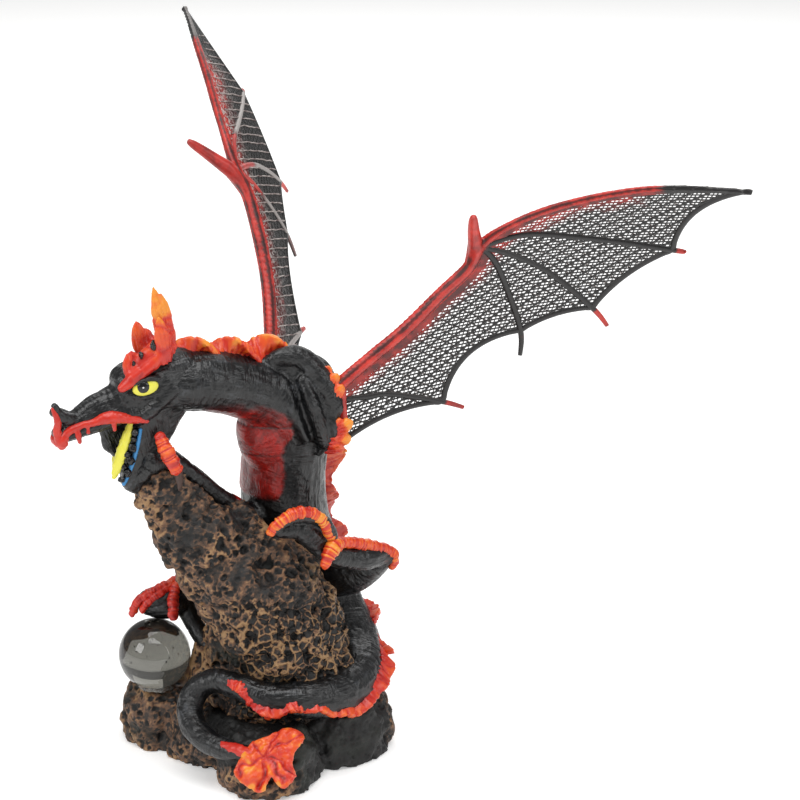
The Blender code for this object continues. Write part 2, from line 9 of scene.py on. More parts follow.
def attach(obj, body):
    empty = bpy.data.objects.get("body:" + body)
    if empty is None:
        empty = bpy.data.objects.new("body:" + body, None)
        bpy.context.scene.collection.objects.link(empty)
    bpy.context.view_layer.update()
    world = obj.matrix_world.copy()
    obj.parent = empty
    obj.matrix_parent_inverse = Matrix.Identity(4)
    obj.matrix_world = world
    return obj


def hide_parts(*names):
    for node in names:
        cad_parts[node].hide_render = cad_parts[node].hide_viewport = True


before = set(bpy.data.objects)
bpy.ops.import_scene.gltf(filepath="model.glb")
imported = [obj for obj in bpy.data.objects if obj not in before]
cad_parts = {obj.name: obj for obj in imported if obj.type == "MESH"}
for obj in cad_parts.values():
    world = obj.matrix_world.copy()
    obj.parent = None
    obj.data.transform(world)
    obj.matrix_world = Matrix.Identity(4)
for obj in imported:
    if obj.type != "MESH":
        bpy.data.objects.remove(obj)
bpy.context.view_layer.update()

bpy.ops.object.select_all(action="DESELECT")
# One seed for the noise, so that each run gives the same lumps and pits
noise.seed_set(5)

# The view: the figurine is seen from a little above, about a metre away, with
# a long lens. It stands on plain white paper under soft overhead light.
MM = 0.001
CAMERA_RISE = math.radians(18.0)
CAMERA_DISTANCE = 1.000
CAMERA_AIM = Vector((0.040, 0.0, 0.101))
CAMERA_LENS = 160.7

toward_camera = Vector((0.0, -math.cos(CAMERA_RISE), math.sin(CAMERA_RISE)))
bpy.ops.object.camera_add(location=CAMERA_AIM + toward_camera * CAMERA_DISTANCE)
camera = bpy.context.object
camera.rotation_euler = (-toward_camera).to_track_quat("-Z", "Y").to_euler()
camera.data.lens = CAMERA_LENS
camera.data.sensor_width = 36.0
camera.data.clip_start = 0.01
bpy.context.scene.camera = camera
bpy.context.scene.view_settings.view_transform = "Standard"


def linear(hex_colour):
    """A linear colour from an sRGB hex value."""
    parts = [int(hex_colour[i:i + 2], 16) / 255.0 for i in (1, 3, 5)]
    return (*[c / 12.92 if c <= 0.04045 else ((c + 0.055) / 1.055) ** 2.4 for c in parts], 1.0)


def node(tree, kind, inputs=None, **settings):
    """Adds a node with its settings; an input is a value or another node's output.

    The scale of a pattern counts its repeats in a metre.
    """
    made = tree.nodes.new(kind)
    for name, value in settings.items():
        setattr(made, name, value)
    for socket, value in (inputs or {}).items():
        if isinstance(value, bpy.types.NodeSocket):
            tree.links.new(value, made.inputs[socket])
        else:
            made.inputs[socket].default_value = value
    return made


def new_material(name, **values):
    """A material with plain values on its shader; returns it, its tree and its shader."""
    made = bpy.data.materials.new(name)
    made.use_nodes = True
    shader = made.node_tree.nodes["Principled BSDF"]
    for socket, value in values.items():
        shader.inputs[socket.replace("_", " ")].default_value = value
    return made, made.node_tree, shader


def colour_stops(ramp, *stops):
    """Gives a colour ramp its stops, each its place from 0 to 1 and its hex colour."""
    elements = ramp.color_ramp.elements
    for element, (position, colour) in zip(elements, (stops[0], stops[-1])):
        element.position = position
        element.color = linear(colour)
    for position, colour in stops[1:-1]:
        stop = elements.new(position)
        stop.color = linear(colour)


for name, place, size, power in (("overhead", (0.05, -0.25, 0.95), 0.70, 6.8),
                                 ("left_softbox", (-0.75, -0.55, 0.55), 0.45, 3.7),
                                 ("right_softbox", (0.85, -0.45, 0.50), 0.45, 2.4),
                                 ("back_softbox", (0.10, 0.80, 0.60), 0.80, 3.0)):
    bpy.ops.object.light_add(type="AREA", location=place)
    lamp = bpy.context.object
    lamp.name = name
    lamp.data.size = size
    lamp.data.energy = power
    lamp.rotation_euler = (CAMERA_AIM - Vector(place)).to_track_quat("-Z", "Y").to_euler()
    lamp.select_set(False)

sky = bpy.data.worlds.new("studio")
sky.use_nodes = True
sky.node_tree.nodes["Background"].inputs["Color"].default_value = (1.0, 1.0, 1.0, 1.0)
sky.node_tree.nodes["Background"].inputs["Strength"].default_value = 0.33
bpy.context.scene.world = sky

white_paper, tree, shader = new_material("matt_white_paper", Base_Color=linear("#f6f6f5"), Roughness=0.9,
                                         Emission_Color=linear("#ffffff"), Emission_Strength=0.30)
bpy.ops.mesh.primitive_plane_add(size=6.0, location=(0.0, 0.0, -0.0002))
floor = bpy.context.object
floor.name = "floor"
floor.data.materials.append(white_paper)
bpy.ops.object.select_all(action="DESELECT")

# The rock: part of the one resin casting, moulded from porous lava. It is
# painted near black and dry-brushed with ochre brown, which stays on the web of
# ridges between its pits. The column, its footing and the base run together.
ROCK_COLUMN = (
    (-27.0, -23.0, 86.5, 5.2), (-23.5, -21.5, 80.5, 7.8), (-17.5, -19.5, 70.5, 11.4),
    (-8.0, -16.0, 59.5, 15.0), (0.5, -14.0, 48.5, 17.4), (6.5, -12.5, 37.0, 17.6), (7.5, -12.0, 26.0, 18.0),
    (4.0, -11.0, 18.0, 18.0),
)
ROCK_FOOTING = ((3.0, 5.0, 47.0, 9.0), (5.5, 11.0, 33.0, 13.5), (8.0, 14.0, 18.0, 17.0))
ROCK_TOE = ((-2.0, -10.0, 38.0, 10.0), (-9.0, -8.5, 28.0, 8.0), (-15.0, -8.0, 20.5, 6.5))
BASE_WIDTH = 77.0 * MM
BASE_DEPTH = 84.0 * MM
BASE_HEIGHT = 18.0 * MM
SQUARENESS = 0.55
ROCK_LUMP = 7.5 * MM
ROCK_DEPTH = 2.6 * MM
COLUMN_CELL = 0.49 * MM
BASE_CELL = 0.50 * MM
# The pits in three sizes: how far apart, how deep, and how many of them are sunk
COLUMN_PITS = ((3.4 * MM, 1.5 * MM, 0.62), (2.1 * MM, 0.9 * MM, 0.66), (1.3 * MM, 0.45 * MM, 0.6))
BASE_PITS = ((3.2 * MM, 1.1 * MM, 0.42), (2.0 * MM, 0.7 * MM, 0.55), (1.3 * MM, 0.4 * MM, 0.55))
# The boulders of the base, as shares of its width, depth and height
BOULDERS = (
    (-0.320, 0.010, 0.40, 0.37, 1.0), (0.042, -0.345, 0.37, 0.44, 0.86), (0.255, -0.085, 0.46, 0.46, 1.0),
    (0.0, -0.100, 0.70, 0.54, 0.95), (0.080, 0.215, 0.66, 0.42, 1.0),
)


def at(x, y, z):
    """A place given in millimetres."""
    return Vector((x, y, z)) * MM


def smooth_path(points, steps):
    """A smooth curve through the points, each a tuple of any length."""
    path = []
    last = len(points) - 1
    for index in range(last):
        around = (points[max(index - 1, 0)], points[index], points[index + 1], points[min(index + 2, last)])
        for step in range(steps):
            t = step / steps
            path.append(tuple(
                0.5 * (2 * b + (c - a) * t + (2 * a - 5 * b + 4 * c - d) * t ** 2
                       + (3 * b - a - 3 * c + d) * t ** 3)
                for a, b, c, d in zip(*around)))
    path.append(tuple(points[last]))
    return path


def tube(name, places, radii, resolution=6):
    """A round tube of changing radius through the places, with filled ends."""
    curve = bpy.data.curves.new(name, "CURVE")
    curve.dimensions = "3D"
    curve.bevel_depth = 1.0
    curve.bevel_resolution = resolution
    curve.use_fill_caps = True
    spline = curve.splines.new("POLY")
    spline.points.add(len(places) - 1)
    for point, place, radius in zip(spline.points, places, radii):
        point.co = (*place, 1.0)
        point.radius = radius
    made = bpy.data.objects.new(name, curve)
    bpy.context.collection.objects.link(made)
    bpy.context.view_layer.objects.active = made
    made.select_set(True)
    bpy.ops.object.convert(target="MESH")
    made = bpy.context.object
    bpy.ops.object.mode_set(mode="EDIT")
    bpy.ops.mesh.select_all(action="SELECT")
    bpy.ops.mesh.remove_doubles(threshold=0.00001)
    bpy.ops.mesh.normals_make_consistent(inside=False)
    bpy.ops.object.mode_set(mode="OBJECT")
    made.select_set(False)
    return made


def egg(centre, radii, turn=None, detail=4):
    """A ball or an egg, in metres, with its place in its mesh."""
    bpy.ops.mesh.primitive_ico_sphere_add(subdivisions=detail, radius=1.0)
    made = bpy.context.object
    turned = turn.to_4x4() if turn else Matrix.Identity(4)
    made.data.transform(Matrix.Translation(centre) @ turned @ Matrix.Diagonal((*radii, 1.0)))
    made.select_set(False)
    return made


def limb(stations, steps=6, place=at, resolution=6):
    """A tapered limb with round ends; returns its forms."""
    path = smooth_path(stations, steps)
    places = [place(*station[:3]) for station in path]
    radii = [station[3] * MM for station in path]
    forms = [tube("limb", places, radii, resolution)]
    for end in (0, -1):
        forms.append(egg(places[end], (radii[end],) * 3))
    return forms


def join(name, forms):
    """Several objects joined into one, with its place in its mesh."""
    bpy.ops.object.select_all(action="DESELECT")
    for form in forms:
        form.select_set(True)
    bpy.context.view_layer.objects.active = forms[0]
    if len(forms) > 1:
        bpy.ops.object.join()
    made = bpy.context.object
    made.name = name
    made.data.name = name
    made.select_set(False)
    return made


def apply_modifier(target, kind, **settings):
    """Adds a modifier with its settings and applies it."""
    bpy.context.view_layer.objects.active = target
    added = target.modifiers.new(kind.title(), kind)
    for name, value in settings.items():
        setattr(added, name, value)
    bpy.ops.object.modifier_apply(modifier=added.name)


def fuse(name, forms, cell, soften=3):
    """Forms grown together into one skin, as in one mould."""
    made = join(name, forms)
    apply_modifier(made, "REMESH", mode="VOXEL", voxel_size=cell)
    apply_modifier(made, "SMOOTH", factor=0.5, iterations=soften)
    return made


def shift(target, moves):
    """Moves each vertex of a piece by its own vector."""
    places = [vert.co + move for vert, move in zip(target.data.vertices, moves)]
    target.data.vertices.foreach_set("co", [part for place in places for part in place])
    target.data.update()


def roughen(target, size, depth):
    """Moves a surface in and out by smooth noise of the given lump size."""
    moves = []
    for vert in target.data.vertices:
        push = noise.noise(vert.co / size) + 0.5 * noise.noise(vert.co / size * 2.3)
        moves.append(vert.normal * push * depth)
    shift(target, moves)


def store(target, name, values):
    """Keeps one number a vertex, which a material reads."""
    layer = target.data.attributes.new(name, "FLOAT", "POINT")
    layer.data.foreach_set("value", values)


def smoothstep(low, high, value):
    """A soft step from 0 at low to 1 at high."""
    t = min(1.0, max(0.0, (value - low) / (high - low)))
    return t * t * (3.0 - 2.0 * t)


def webbed(place):
    """Where the rock is a fine web of thin walls: low down on the right of the column."""
    x, y, z = place
    low = smoothstep(62.0, 38.0, z) * smoothstep(-15.0, 1.0, x + 4.0 * noise.noise(place / 6.0))
    return low * smoothstep(14.0, 20.0, z)


def pit(target, layers, calm=None):
    """Sinks layers of round pits into a surface, less deep where it is calm."""
    ridges = []
    moves = []
    for vert in target.data.vertices:
        sink = 0.0
        ridge = 1.0
        rim = 0.0
        for size, depth, filled in layers:
            place = vert.co / size
            place += 0.40 * noise.noise_vector(place * 0.7)
            distances, points = noise.voronoi(place)
            reach = 0.42 + 0.30 * noise.noise(points[0] * 3.1)
            pick = noise.noise(points[0] * 1.3 + Vector((7.0, 3.0, 1.0)))
            chosen = smoothstep(-0.10, 0.10, pick + filled - 0.5)
            hole = chosen * (1.0 - smoothstep(reach * 0.55, reach * 1.05, distances[0]))
            sink += hole * depth
            ridge *= 1.0 - hole
            rim = max(rim, chosen * (1.0 - abs(distances[0] / reach - 1.15) / 0.35))
        still = calm(vert.co) if calm else 0.0
        crag = 1.0 - 3.0 * abs(noise.noise(vert.co / (4.2 * MM)))
        high = smoothstep(45.0, 85.0, vert.co.z / MM)
        sink *= 1.0 - 0.35 * high
        lift = max(-1.0, crag) * (0.30 + 0.45 * high) * MM
        shade = ridge * (0.74 - 0.12 * high + 0.20 * crag) + 0.26 * max(0.0, rim)
        shade += 0.05 * smoothstep(-6.0, -20.0, vert.co.x / MM) - 0.05 * high
        ridges.append(max(0.0, shade) * (1.0 - 0.85 * still))
        moves.append(vert.normal * (lift - sink) * (1.0 - 0.40 * still))
    shift(target, moves)
    store(target, "ridge", ridges)
    store(target, "web", [webbed(vert.co / MM) for vert in target.data.vertices])


def painted_over(place):
    """Where the rock's black paint has no dry brush: the front right and inside the tail's loop."""
    x, y, z = place / MM
    right = smoothstep(6.0, 14.0, x + 0.25 * (y + 30.0)) * smoothstep(-8.0, -18.0, y)
    dish = smoothstep(-17.0, -12.0, x) * smoothstep(-15.0, -21.0, y) * smoothstep(6.0, 10.0, z)
    return max(right, dish)


forms = []
for stations in (ROCK_COLUMN, ROCK_FOOTING, ROCK_TOE):
    for form in limb(stations, steps=10, resolution=10):
        roughen(form, ROCK_LUMP, ROCK_DEPTH)
        forms.append(form)
rock_column = fuse("rock_column", forms, COLUMN_CELL)
roughen(rock_column, 5.0 * MM, 0.9 * MM)
pit(rock_column, COLUMN_PITS)

forms = []
for x, y, width, depth, height in BOULDERS:
    boulder = egg(Vector((0.0, 0.0, 0.0)), (1.0, 1.0, 1.0), detail=6)
    for vert in boulder.data.vertices:
        reach = max(Vector((vert.co.x, vert.co.y)).length, 1e-6)
        spread = reach ** (SQUARENESS - 1.0)
        rise = math.copysign(abs(vert.co.z) ** SQUARENESS, vert.co.z)
        vert.co = Vector((
            (x + vert.co.x * spread * width / 2.0) * BASE_WIDTH,
            (y + vert.co.y * spread * depth / 2.0) * BASE_DEPTH,
            height * BASE_HEIGHT * (0.35 + 0.65 * rise)))
    boulder.data.update()
    roughen(boulder, ROCK_LUMP, ROCK_DEPTH)
    forms.append(boulder)
forms.append(egg(at(6.0, -33.0, 3.0), (9.5 * MM, 9.0 * MM, 9.0 * MM), detail=5))
base_rock = fuse("base_rock", forms, BASE_CELL)
pit(base_rock, BASE_PITS, painted_over)
for piece in (rock_column, base_rock):
    bpy.ops.object.select_all(action="DESELECT")
    bpy.context.view_layer.objects.active = piece
    piece.select_set(True)
    bpy.ops.object.mode_set(mode="EDIT")
    bpy.ops.mesh.select_all(action="SELECT")
    bpy.ops.mesh.bisect(plane_co=(0.0, 0.0, 0.00002), plane_no=(0.0, 0.0, 1.0), use_fill=True,
                        clear_inner=True, threshold=0.000001)
    bpy.ops.object.mode_set(mode="OBJECT")
    piece.select_set(False)

# Painted resin rock: satin black in the pits, ochre on the ridges, a green cast
# here and there
rock_paint, tree, shader = new_material("dry_brushed_resin_rock", Roughness=0.62, IOR=1.5)
coordinates = node(tree, "ShaderNodeTexCoord")
ridge = node(tree, "ShaderNodeAttribute", attribute_name="ridge")
patches = node(tree, "ShaderNodeTexNoise",
               {"Vector": coordinates.outputs["Object"], "Scale": 95.0, "Detail": 4.0})
speckle = node(tree, "ShaderNodeTexNoise",
               {"Vector": coordinates.outputs["Object"], "Scale": 1100.0, "Detail": 3.0})
patchy = node(tree, "ShaderNodeMapRange",
              {"Value": patches.outputs["Fac"], "From Min": 0.32, "From Max": 0.68,
               "To Min": 0.30, "To Max": 0.74})
brushed = node(tree, "ShaderNodeMath", {0: ridge.outputs["Fac"], 1: patchy.outputs[0], 2: -0.10},
               operation="MULTIPLY_ADD")
grains = node(tree, "ShaderNodeMath", {0: speckle.outputs["Fac"], 1: 0.35, 2: brushed.outputs[0]},
              operation="MULTIPLY_ADD")
# The fine web: walls between round holes of two to three millimetres
web = node(tree, "ShaderNodeAttribute", attribute_name="web")
warp = node(tree, "ShaderNodeTexNoise",
            {"Vector": coordinates.outputs["Object"], "Scale": 260.0, "Detail": 2.0})
warped = node(tree, "ShaderNodeVectorMath", {0: warp.outputs["Color"], 1: (0.0016, 0.0016, 0.0016),
                                             2: coordinates.outputs["Object"]}, operation="MULTIPLY_ADD")
holes = node(tree, "ShaderNodeTexVoronoi", {"Vector": warped.outputs[0], "Scale": 400.0},
             feature="DISTANCE_TO_EDGE")
walls = node(tree, "ShaderNodeMapRange",
             {"Value": holes.outputs["Distance"], "From Min": 0.03, "From Max": 0.20,
              "To Min": 1.0, "To Max": 0.0})
wall_share = node(tree, "ShaderNodeMath", {0: walls.outputs[0], 1: 0.44, 2: -0.24}, operation="MULTIPLY_ADD")
wall_lift = node(tree, "ShaderNodeMath",
                 {0: wall_share.outputs[0], 1: web.outputs["Fac"], 2: grains.outputs[0]},
                 operation="MULTIPLY_ADD")
wall_height = node(tree, "ShaderNodeMath", {0: walls.outputs[0], 1: web.outputs["Fac"]}, operation="MULTIPLY")
ochre = node(tree, "ShaderNodeValToRGB", {"Fac": wall_lift.outputs[0]})
colour_stops(ochre, (0.30, "#0b0a09"), (0.44, "#33261c"), (0.57, "#6c4c35"), (0.70, "#94734e"))
green = node(tree, "ShaderNodeTexNoise",
             {"Vector": coordinates.outputs["Object"], "Scale": 60.0, "Detail": 2.0})
green_mask = node(tree, "ShaderNodeMapRange",
                  {"Value": green.outputs["Fac"], "From Min": 0.56, "From Max": 0.70,
                   "To Max": 0.45})
tinted = node(tree, "ShaderNodeMix", {"Factor": green_mask.outputs[0], "A": ochre.outputs["Color"],
                                      "B": linear("#1c2416")}, data_type="RGBA")
tree.links.new(tinted.outputs["Result"], shader.inputs["Base Color"])
fine = node(tree, "ShaderNodeBump", {"Height": speckle.outputs["Fac"], "Strength": 0.6, "Distance": 0.4 * MM})
bump = node(tree, "ShaderNodeBump", {"Height": wall_height.outputs[0], "Normal": fine.outputs["Normal"],
                                     "Strength": 0.9, "Distance": 0.8 * MM})
tree.links.new(bump.outputs["Normal"], shader.inputs["Normal"])

for piece in (rock_column, base_rock):
    piece.data.materials.append(rock_paint)
    piece.data.shade_smooth()
    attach(piece, "root")
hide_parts("dragon_on_rock")

# The dragon's body: the same casting, its skin creased in rings and in strokes
# along the limbs. It is painted satin black and dry-brushed with grey on what
# stands proud, and the plates of the belly are glazed deep red.
SKIN_CELL = 0.56 * MM
SPINE = (
    (-27.0, -23.5, 114.5, 7.0), (-20.0, -21.5, 113.5, 8.3), (-13.4, -19.0, 112.9, 8.6),
    (-6.3, -14.0, 110.5, 8.9), (1.2, -8.0, 106.5, 9.8), (7.0, -3.0, 101.0, 11.6),
    (8.3, 0.0, 92.1, 12.0), (7.2, 1.0, 81.4, 12.0), (7.0, 3.0, 70.2, 12.2),
    (8.6, 8.0, 57.8, 12.6), (12.0, 14.0, 44.9, 12.6), (18.3, 12.0, 33.4, 11.6),
    (24.6, 3.0, 25.2, 10.4), (27.0, -10.0, 22.2, 8.6), (22.6, -22.0, 21.6, 6.9),
    (13.5, -28.5, 22.4, 5.6), (3.8, -30.5, 23.6, 4.6), (-4.6, -28.5, 26.0, 3.8),
    (-12.0, -25.0, 26.6, 3.5), (-17.2, -24.0, 23.0, 3.7), (-18.9, -27.0, 18.0, 3.8),
    (-16.2, -33.0, 14.0, 3.6), (-9.3, -39.5, 12.3, 3.1), (-2.0, -44.0, 13.0, 2.2),
)
NEAR_THIGH = ((12.0, 6.0, 50.0, 9.0), (18.0, 5.0, 49.5, 9.0), (25.5, 1.0, 50.5, 7.8), (32.5, -4.0, 54.5, 5.0),
              (36.3, -6.0, 57.0, 2.8))
NEAR_SHIN = ((36.3, -6.0, 57.3, 2.4), (31.0, -12.0, 58.6, 3.6), (24.5, -17.0, 60.4, 3.5),
             (19.5, -20.5, 63.8, 3.6))
NEAR_TOE = ((21.0, -22.0, 64.5, 2.0), (20.8, -23.5, 70.7, 1.8), (17.4, -25.5, 75.0, 2.0),
            (12.0, -28.5, 76.8, 2.0), (7.9, -30.5, 75.8, 1.8), (4.9, -31.5, 73.2, 1.4))
NEAR_PAD = ((18.0, -22.0, 65.5, 3.4), (12.5, -25.0, 71.5, 3.2), (7.0, -27.0, 72.0, 2.4))
FAR_THIGH = ((4.0, 10.0, 55.0, 9.0), (-6.0, 11.0, 49.5, 6.5), (-13.2, 8.0, 45.4, 4.6),
             (-18.5, 3.5, 44.0, 4.0), (-23.2, 0.0, 44.2, 3.6))
FAR_HEEL = ((-23.0, 0.0, 43.5, 3.4), (-19.6, -2.5, 36.6, 2.8), (-15.4, -6.0, 30.8, 2.8),
            (-12.0, -8.0, 27.0, 3.0))
FORELEG = ((4.0, -2.0, 80.0, 5.0), (1.5, -4.0, 71.0, 4.6), (-2.5, -8.0, 70.2, 3.4), (-8.8, -14.0, 75.8, 2.9),
           (-17.2, -21.0, 86.0, 2.7), (-23.4, -24.5, 91.6, 3.2), (-28.0, -26.5, 92.4, 4.0))
PAW = ((-27.7, -26.0, 92.2, 4.0), (-32.5, -26.0, 88.4, 3.6), (-35.0, -27.0, 91.0, 2.4))
# The fold over the near shoulder, and the creases under it
SHOULDER_FOLD = ((2.6, -11.6, 115.8, 1.5), (7.0, -11.0, 117.0, 2.6), (12.0, -9.6, 116.6, 3.2),
                 (16.2, -9.0, 112.8, 3.4), (19.6, -9.4, 107.4, 3.4), (21.6, -9.5, 102.0, 3.0))
SHOULDER_CREASES = (
    ((7.0, -11.5, 112.0, 1.4), (9.0, -13.5, 106.0, 2.0), (11.5, -13.0, 99.0, 1.8), (14.0, -11.5, 93.0, 1.2)),
    ((13.0, -11.5, 110.5, 1.6), (15.5, -13.0, 105.0, 2.2), (17.5, -12.5, 98.0, 2.0),
     (18.5, -11.0, 92.0, 1.4)),
    ((20.0, -10.0, 103.0, 1.6), (21.5, -10.5, 98.0, 2.0), (20.5, -10.0, 92.5, 1.6), (17.5, -9.0, 88.5, 1.2)),
)
# The limbs whose length the creases follow
LIMBS = (SPINE, NEAR_THIGH, NEAR_SHIN, NEAR_TOE, FAR_THIGH, FAR_HEEL, FORELEG, PAW)
# The shoulders, the chest and the ball of the far foot, each its middle and its three radii
SWELLINGS = (
    ((14.5, -4.5, 104.0), (8.6, 8.4, 12.0)), ((4.0, 5.5, 104.0), (9.0, 7.5, 11.5)),
    ((3.0, -5.5, 94.0), (8.5, 8.0, 12.0)), ((18.5, -7.5, 97.5), (5.0, 5.0, 8.0)),
    ((9.2, -8.2, 112.4), (4.4, 3.6, 4.6)), ((-27.6, -3.4, 41.7), (7.6, 5.0, 4.8)),
)
HEAD_PLACE = Vector((-24.0, -22.0, 114.0))
HEAD_FORWARD = Vector((-0.870, -0.420, -0.260)).normalized()
HEAD_SIDE = Vector((0.434, -0.901, 0.001)).normalized()
HEAD_UP = HEAD_FORWARD.cross(HEAD_SIDE).normalized()
# Which way the belly faces, how far round it the plates reach, and the heights
# in millimetres of the seams between them
BELLY_WAY = Vector((-0.80, -0.60, 0.0)).normalized()
THROAT_WAY = Vector((-0.20, -0.45, -0.87)).normalized()
BELLY_ARC = math.radians(54.0)
BELLY_SEAMS = (97.0, 88.6, 74.6)


def on_head(forward, side, up):
    """A point of the head, drawn in millimetres from the head's own place."""
    return at(*(HEAD_PLACE + HEAD_FORWARD * forward + HEAD_SIDE * side + HEAD_UP * up))


def swelling(centre, radii, place=at):
    """A round swelling, drawn in millimetres."""
    return egg(place(*centre), [r * MM for r in radii])


def tree_of(places):
    """A tree that finds the nearest of the places."""
    tree = KDTree(len(places))
    for index, place in enumerate(places):
        tree.insert(place, index)
    tree.balance()
    return tree


def flow_along(target, limbs):
    """Where each point lies along the nearest limb, and to its two sides."""
    samples = []
    reach = 0.0
    for stations in limbs:
        path = [at(*station[:3]) for station in smooth_path(stations, 10)]
        side = (path[1] - path[0]).cross(Vector((0.3, 0.5, 1.0)))
        for index, place in enumerate(path):
            ahead = path[min(index + 1, len(path) - 1)] - path[max(index - 1, 0)]
            tangent = ahead.normalized()
            side = (side - tangent * side.dot(tangent)).normalized()
            samples.append((place, tangent, side, reach))
            reach += ahead.length / 2.0
        reach += 50.0 * MM
    tree = tree_of([sample[0] for sample in samples])
    flows = []
    for vert in target.data.vertices:
        place, tangent, side, reach = samples[tree.find(vert.co)[1]]
        offset = vert.co - place
        flows.append(Vector((reach + offset.dot(tangent), offset.dot(side), offset.dot(tangent.cross(side)))))
    layer = target.data.attributes.new("flow", "FLOAT_VECTOR", "POINT")
    layer.data.foreach_set("vector", [part for place in flows for part in place])
    return flows


def crease(target, flows, size, depth, ring_share=0.0, smooth=None):
    """Cuts leathery creases: rings round a limb, and strokes along it."""
    relief = []
    moves = []
    calms = smooth or [0.0] * len(flows)
    for vert, place, calm in zip(target.data.vertices, flows, calms):
        ring = noise.noise(Vector((place.x / size, place.y / (4.5 * size), place.z / (4.5 * size))))
        stroke = noise.noise(Vector((place.x / (5.0 * size) + 31.0, place.y / size, place.z / size)))
        share = smoothstep(-0.15, 0.15, noise.noise(vert.co / (9.0 * MM)) + ring_share)
        cut = (share * (1.0 - smoothstep(0.0, 0.20, abs(ring)))
               + (1.0 - share) * (1.0 - smoothstep(0.0, 0.20, abs(stroke))))
        swell = noise.noise(vert.co / (4.0 * MM))
        cut *= 1.0 - 0.75 * calm
        relief.append(0.75 * (1.0 - cut) + 0.5 * swell)
        moves.append(vert.normal * (swell * 0.22 * MM - cut * depth))
    shift(target, moves)
    store(target, "relief", relief)


def raise_belly(target):
    """Raises the plates of the belly and keeps where they are."""
    shares = []
    moves = []
    tree = tree_of([at(*station[:3]) for station in smooth_path(SPINE[:10], 10)])
    for vert in target.data.vertices:
        height = vert.co.z / MM
        share = 0.0
        nearest, _, distance = tree.find(vert.co)
        if BELLY_SEAMS[-1] - 1.0 < height < 108.0 and vert.co.x / MM > -14.0 and distance < 19.5 * MM:
            offset = vert.co - nearest
            way = BELLY_WAY.lerp(THROAT_WAY, smoothstep(94.0, 104.0, nearest.z / MM)).normalized()
            angle = offset.angle(way)
            plate = next((index for index, seam in enumerate(BELLY_SEAMS) if height > seam), len(BELLY_SEAMS))
            top = BELLY_SEAMS[plate - 1] if plate else 108.0
            bottom = BELLY_SEAMS[min(plate, len(BELLY_SEAMS) - 1)]
            down = min(1.0, max(0.0, (top - height) / max(top - bottom, 0.1)))
            arc = BELLY_ARC * (0.86 + 0.22 * math.sin(math.pi * min(1.0, down * 0.8 + 0.1)))
            arc += 0.05 * noise.noise(vert.co / (2.0 * MM))
            edge = 1.0 - smoothstep(arc - 0.10, arc, angle)
            share = edge * (0.35 + 0.65 * smoothstep(0.0, 0.07, 1.0 - down))
            share *= smoothstep(108.0, 101.0, height)
            share *= smoothstep(BELLY_SEAMS[-1] - 0.5, BELLY_SEAMS[-1] + 0.5, height)
            if height > BELLY_SEAMS[0]:
                share *= 0.72 + 0.6 * noise.noise(vert.co / (1.6 * MM))
        shares.append(max(0.0, share))
        moves.append(vert.normal * share * 0.28 * MM)
    shift(target, moves)
    store(target, "belly", shares)
    return shares


forms = limb(SPINE, steps=8, resolution=8)
for stations in (NEAR_THIGH, NEAR_SHIN, NEAR_TOE, NEAR_PAD, FAR_THIGH, FAR_HEEL, FORELEG, PAW, SHOULDER_FOLD,
                 *SHOULDER_CREASES):
    forms += limb(stations)
forms += [swelling(*form) for form in SWELLINGS]
dragon_body = fuse("dragon_body", forms, SKIN_CELL)
plates = raise_belly(dragon_body)
crease(dragon_body, flow_along(dragon_body, LIMBS), 1.4 * MM, 0.25 * MM, smooth=plates)

# Satin acrylic paint: black in the creases, grey where the dry brush touched,
# fine hairlines from its bristles, and a deep red glaze on the belly
black_paint, tree, shader = new_material("satin_black_acrylic", Roughness=0.29, IOR=1.5)
coordinates = node(tree, "ShaderNodeTexCoord")
relief = node(tree, "ShaderNodeAttribute", attribute_name="relief")
flow = node(tree, "ShaderNodeAttribute", attribute_name="flow")
belly = node(tree, "ShaderNodeAttribute", attribute_name="belly")
bristle_way = node(tree, "ShaderNodeMapping",
                   {"Vector": flow.outputs["Vector"], "Scale": (350.0, 1500.0, 1500.0)})
bristles = node(tree, "ShaderNodeTexNoise",
                {"Vector": bristle_way.outputs["Vector"], "Scale": 1.0, "Detail": 3.0})
patches = node(tree, "ShaderNodeTexNoise",
               {"Vector": coordinates.outputs["Object"], "Scale": 110.0, "Detail": 3.0})
touched = node(tree, "ShaderNodeMath", {0: relief.outputs["Fac"], 1: bristles.outputs["Fac"]},
               operation="MULTIPLY")
brushed = node(tree, "ShaderNodeMath", {0: touched.outputs[0], 1: patches.outputs["Fac"]},
               operation="MULTIPLY")
greys = node(tree, "ShaderNodeValToRGB", {"Fac": brushed.outputs[0]})
colour_stops(greys, (0.02, "#08080a"), (0.22, "#101112"), (0.44, "#3a3c40"))
glaze = node(tree, "ShaderNodeValToRGB", {"Fac": brushed.outputs[0]})
colour_stops(glaze, (0.0, "#2a0605"), (0.27, "#a01a12"))
skin = node(tree, "ShaderNodeMix", {"Factor": belly.outputs["Fac"], "A": greys.outputs["Color"],
                                    "B": glaze.outputs["Color"]}, data_type="RGBA")
tree.links.new(skin.outputs["Result"], shader.inputs["Base Color"])
ring_way = node(tree, "ShaderNodeMapping",
                {"Vector": flow.outputs["Vector"], "Scale": (1700.0, 320.0, 320.0)})
rings = node(tree, "ShaderNodeTexNoise", {"Vector": ring_way.outputs["Vector"], "Scale": 1.0, "Detail": 3.0})
turns = node(tree, "ShaderNodeMapRange",
             {"Value": patches.outputs["Fac"], "From Min": 0.46, "From Max": 0.54})
scratches = node(tree, "ShaderNodeMix", {"Factor": turns.outputs[0], "A": bristles.outputs["Fac"],
                                         "B": rings.outputs["Fac"]}, data_type="FLOAT")
bump = node(tree, "ShaderNodeBump", {"Height": scratches.outputs[0], "Strength": 0.75, "Distance": 0.5 * MM})
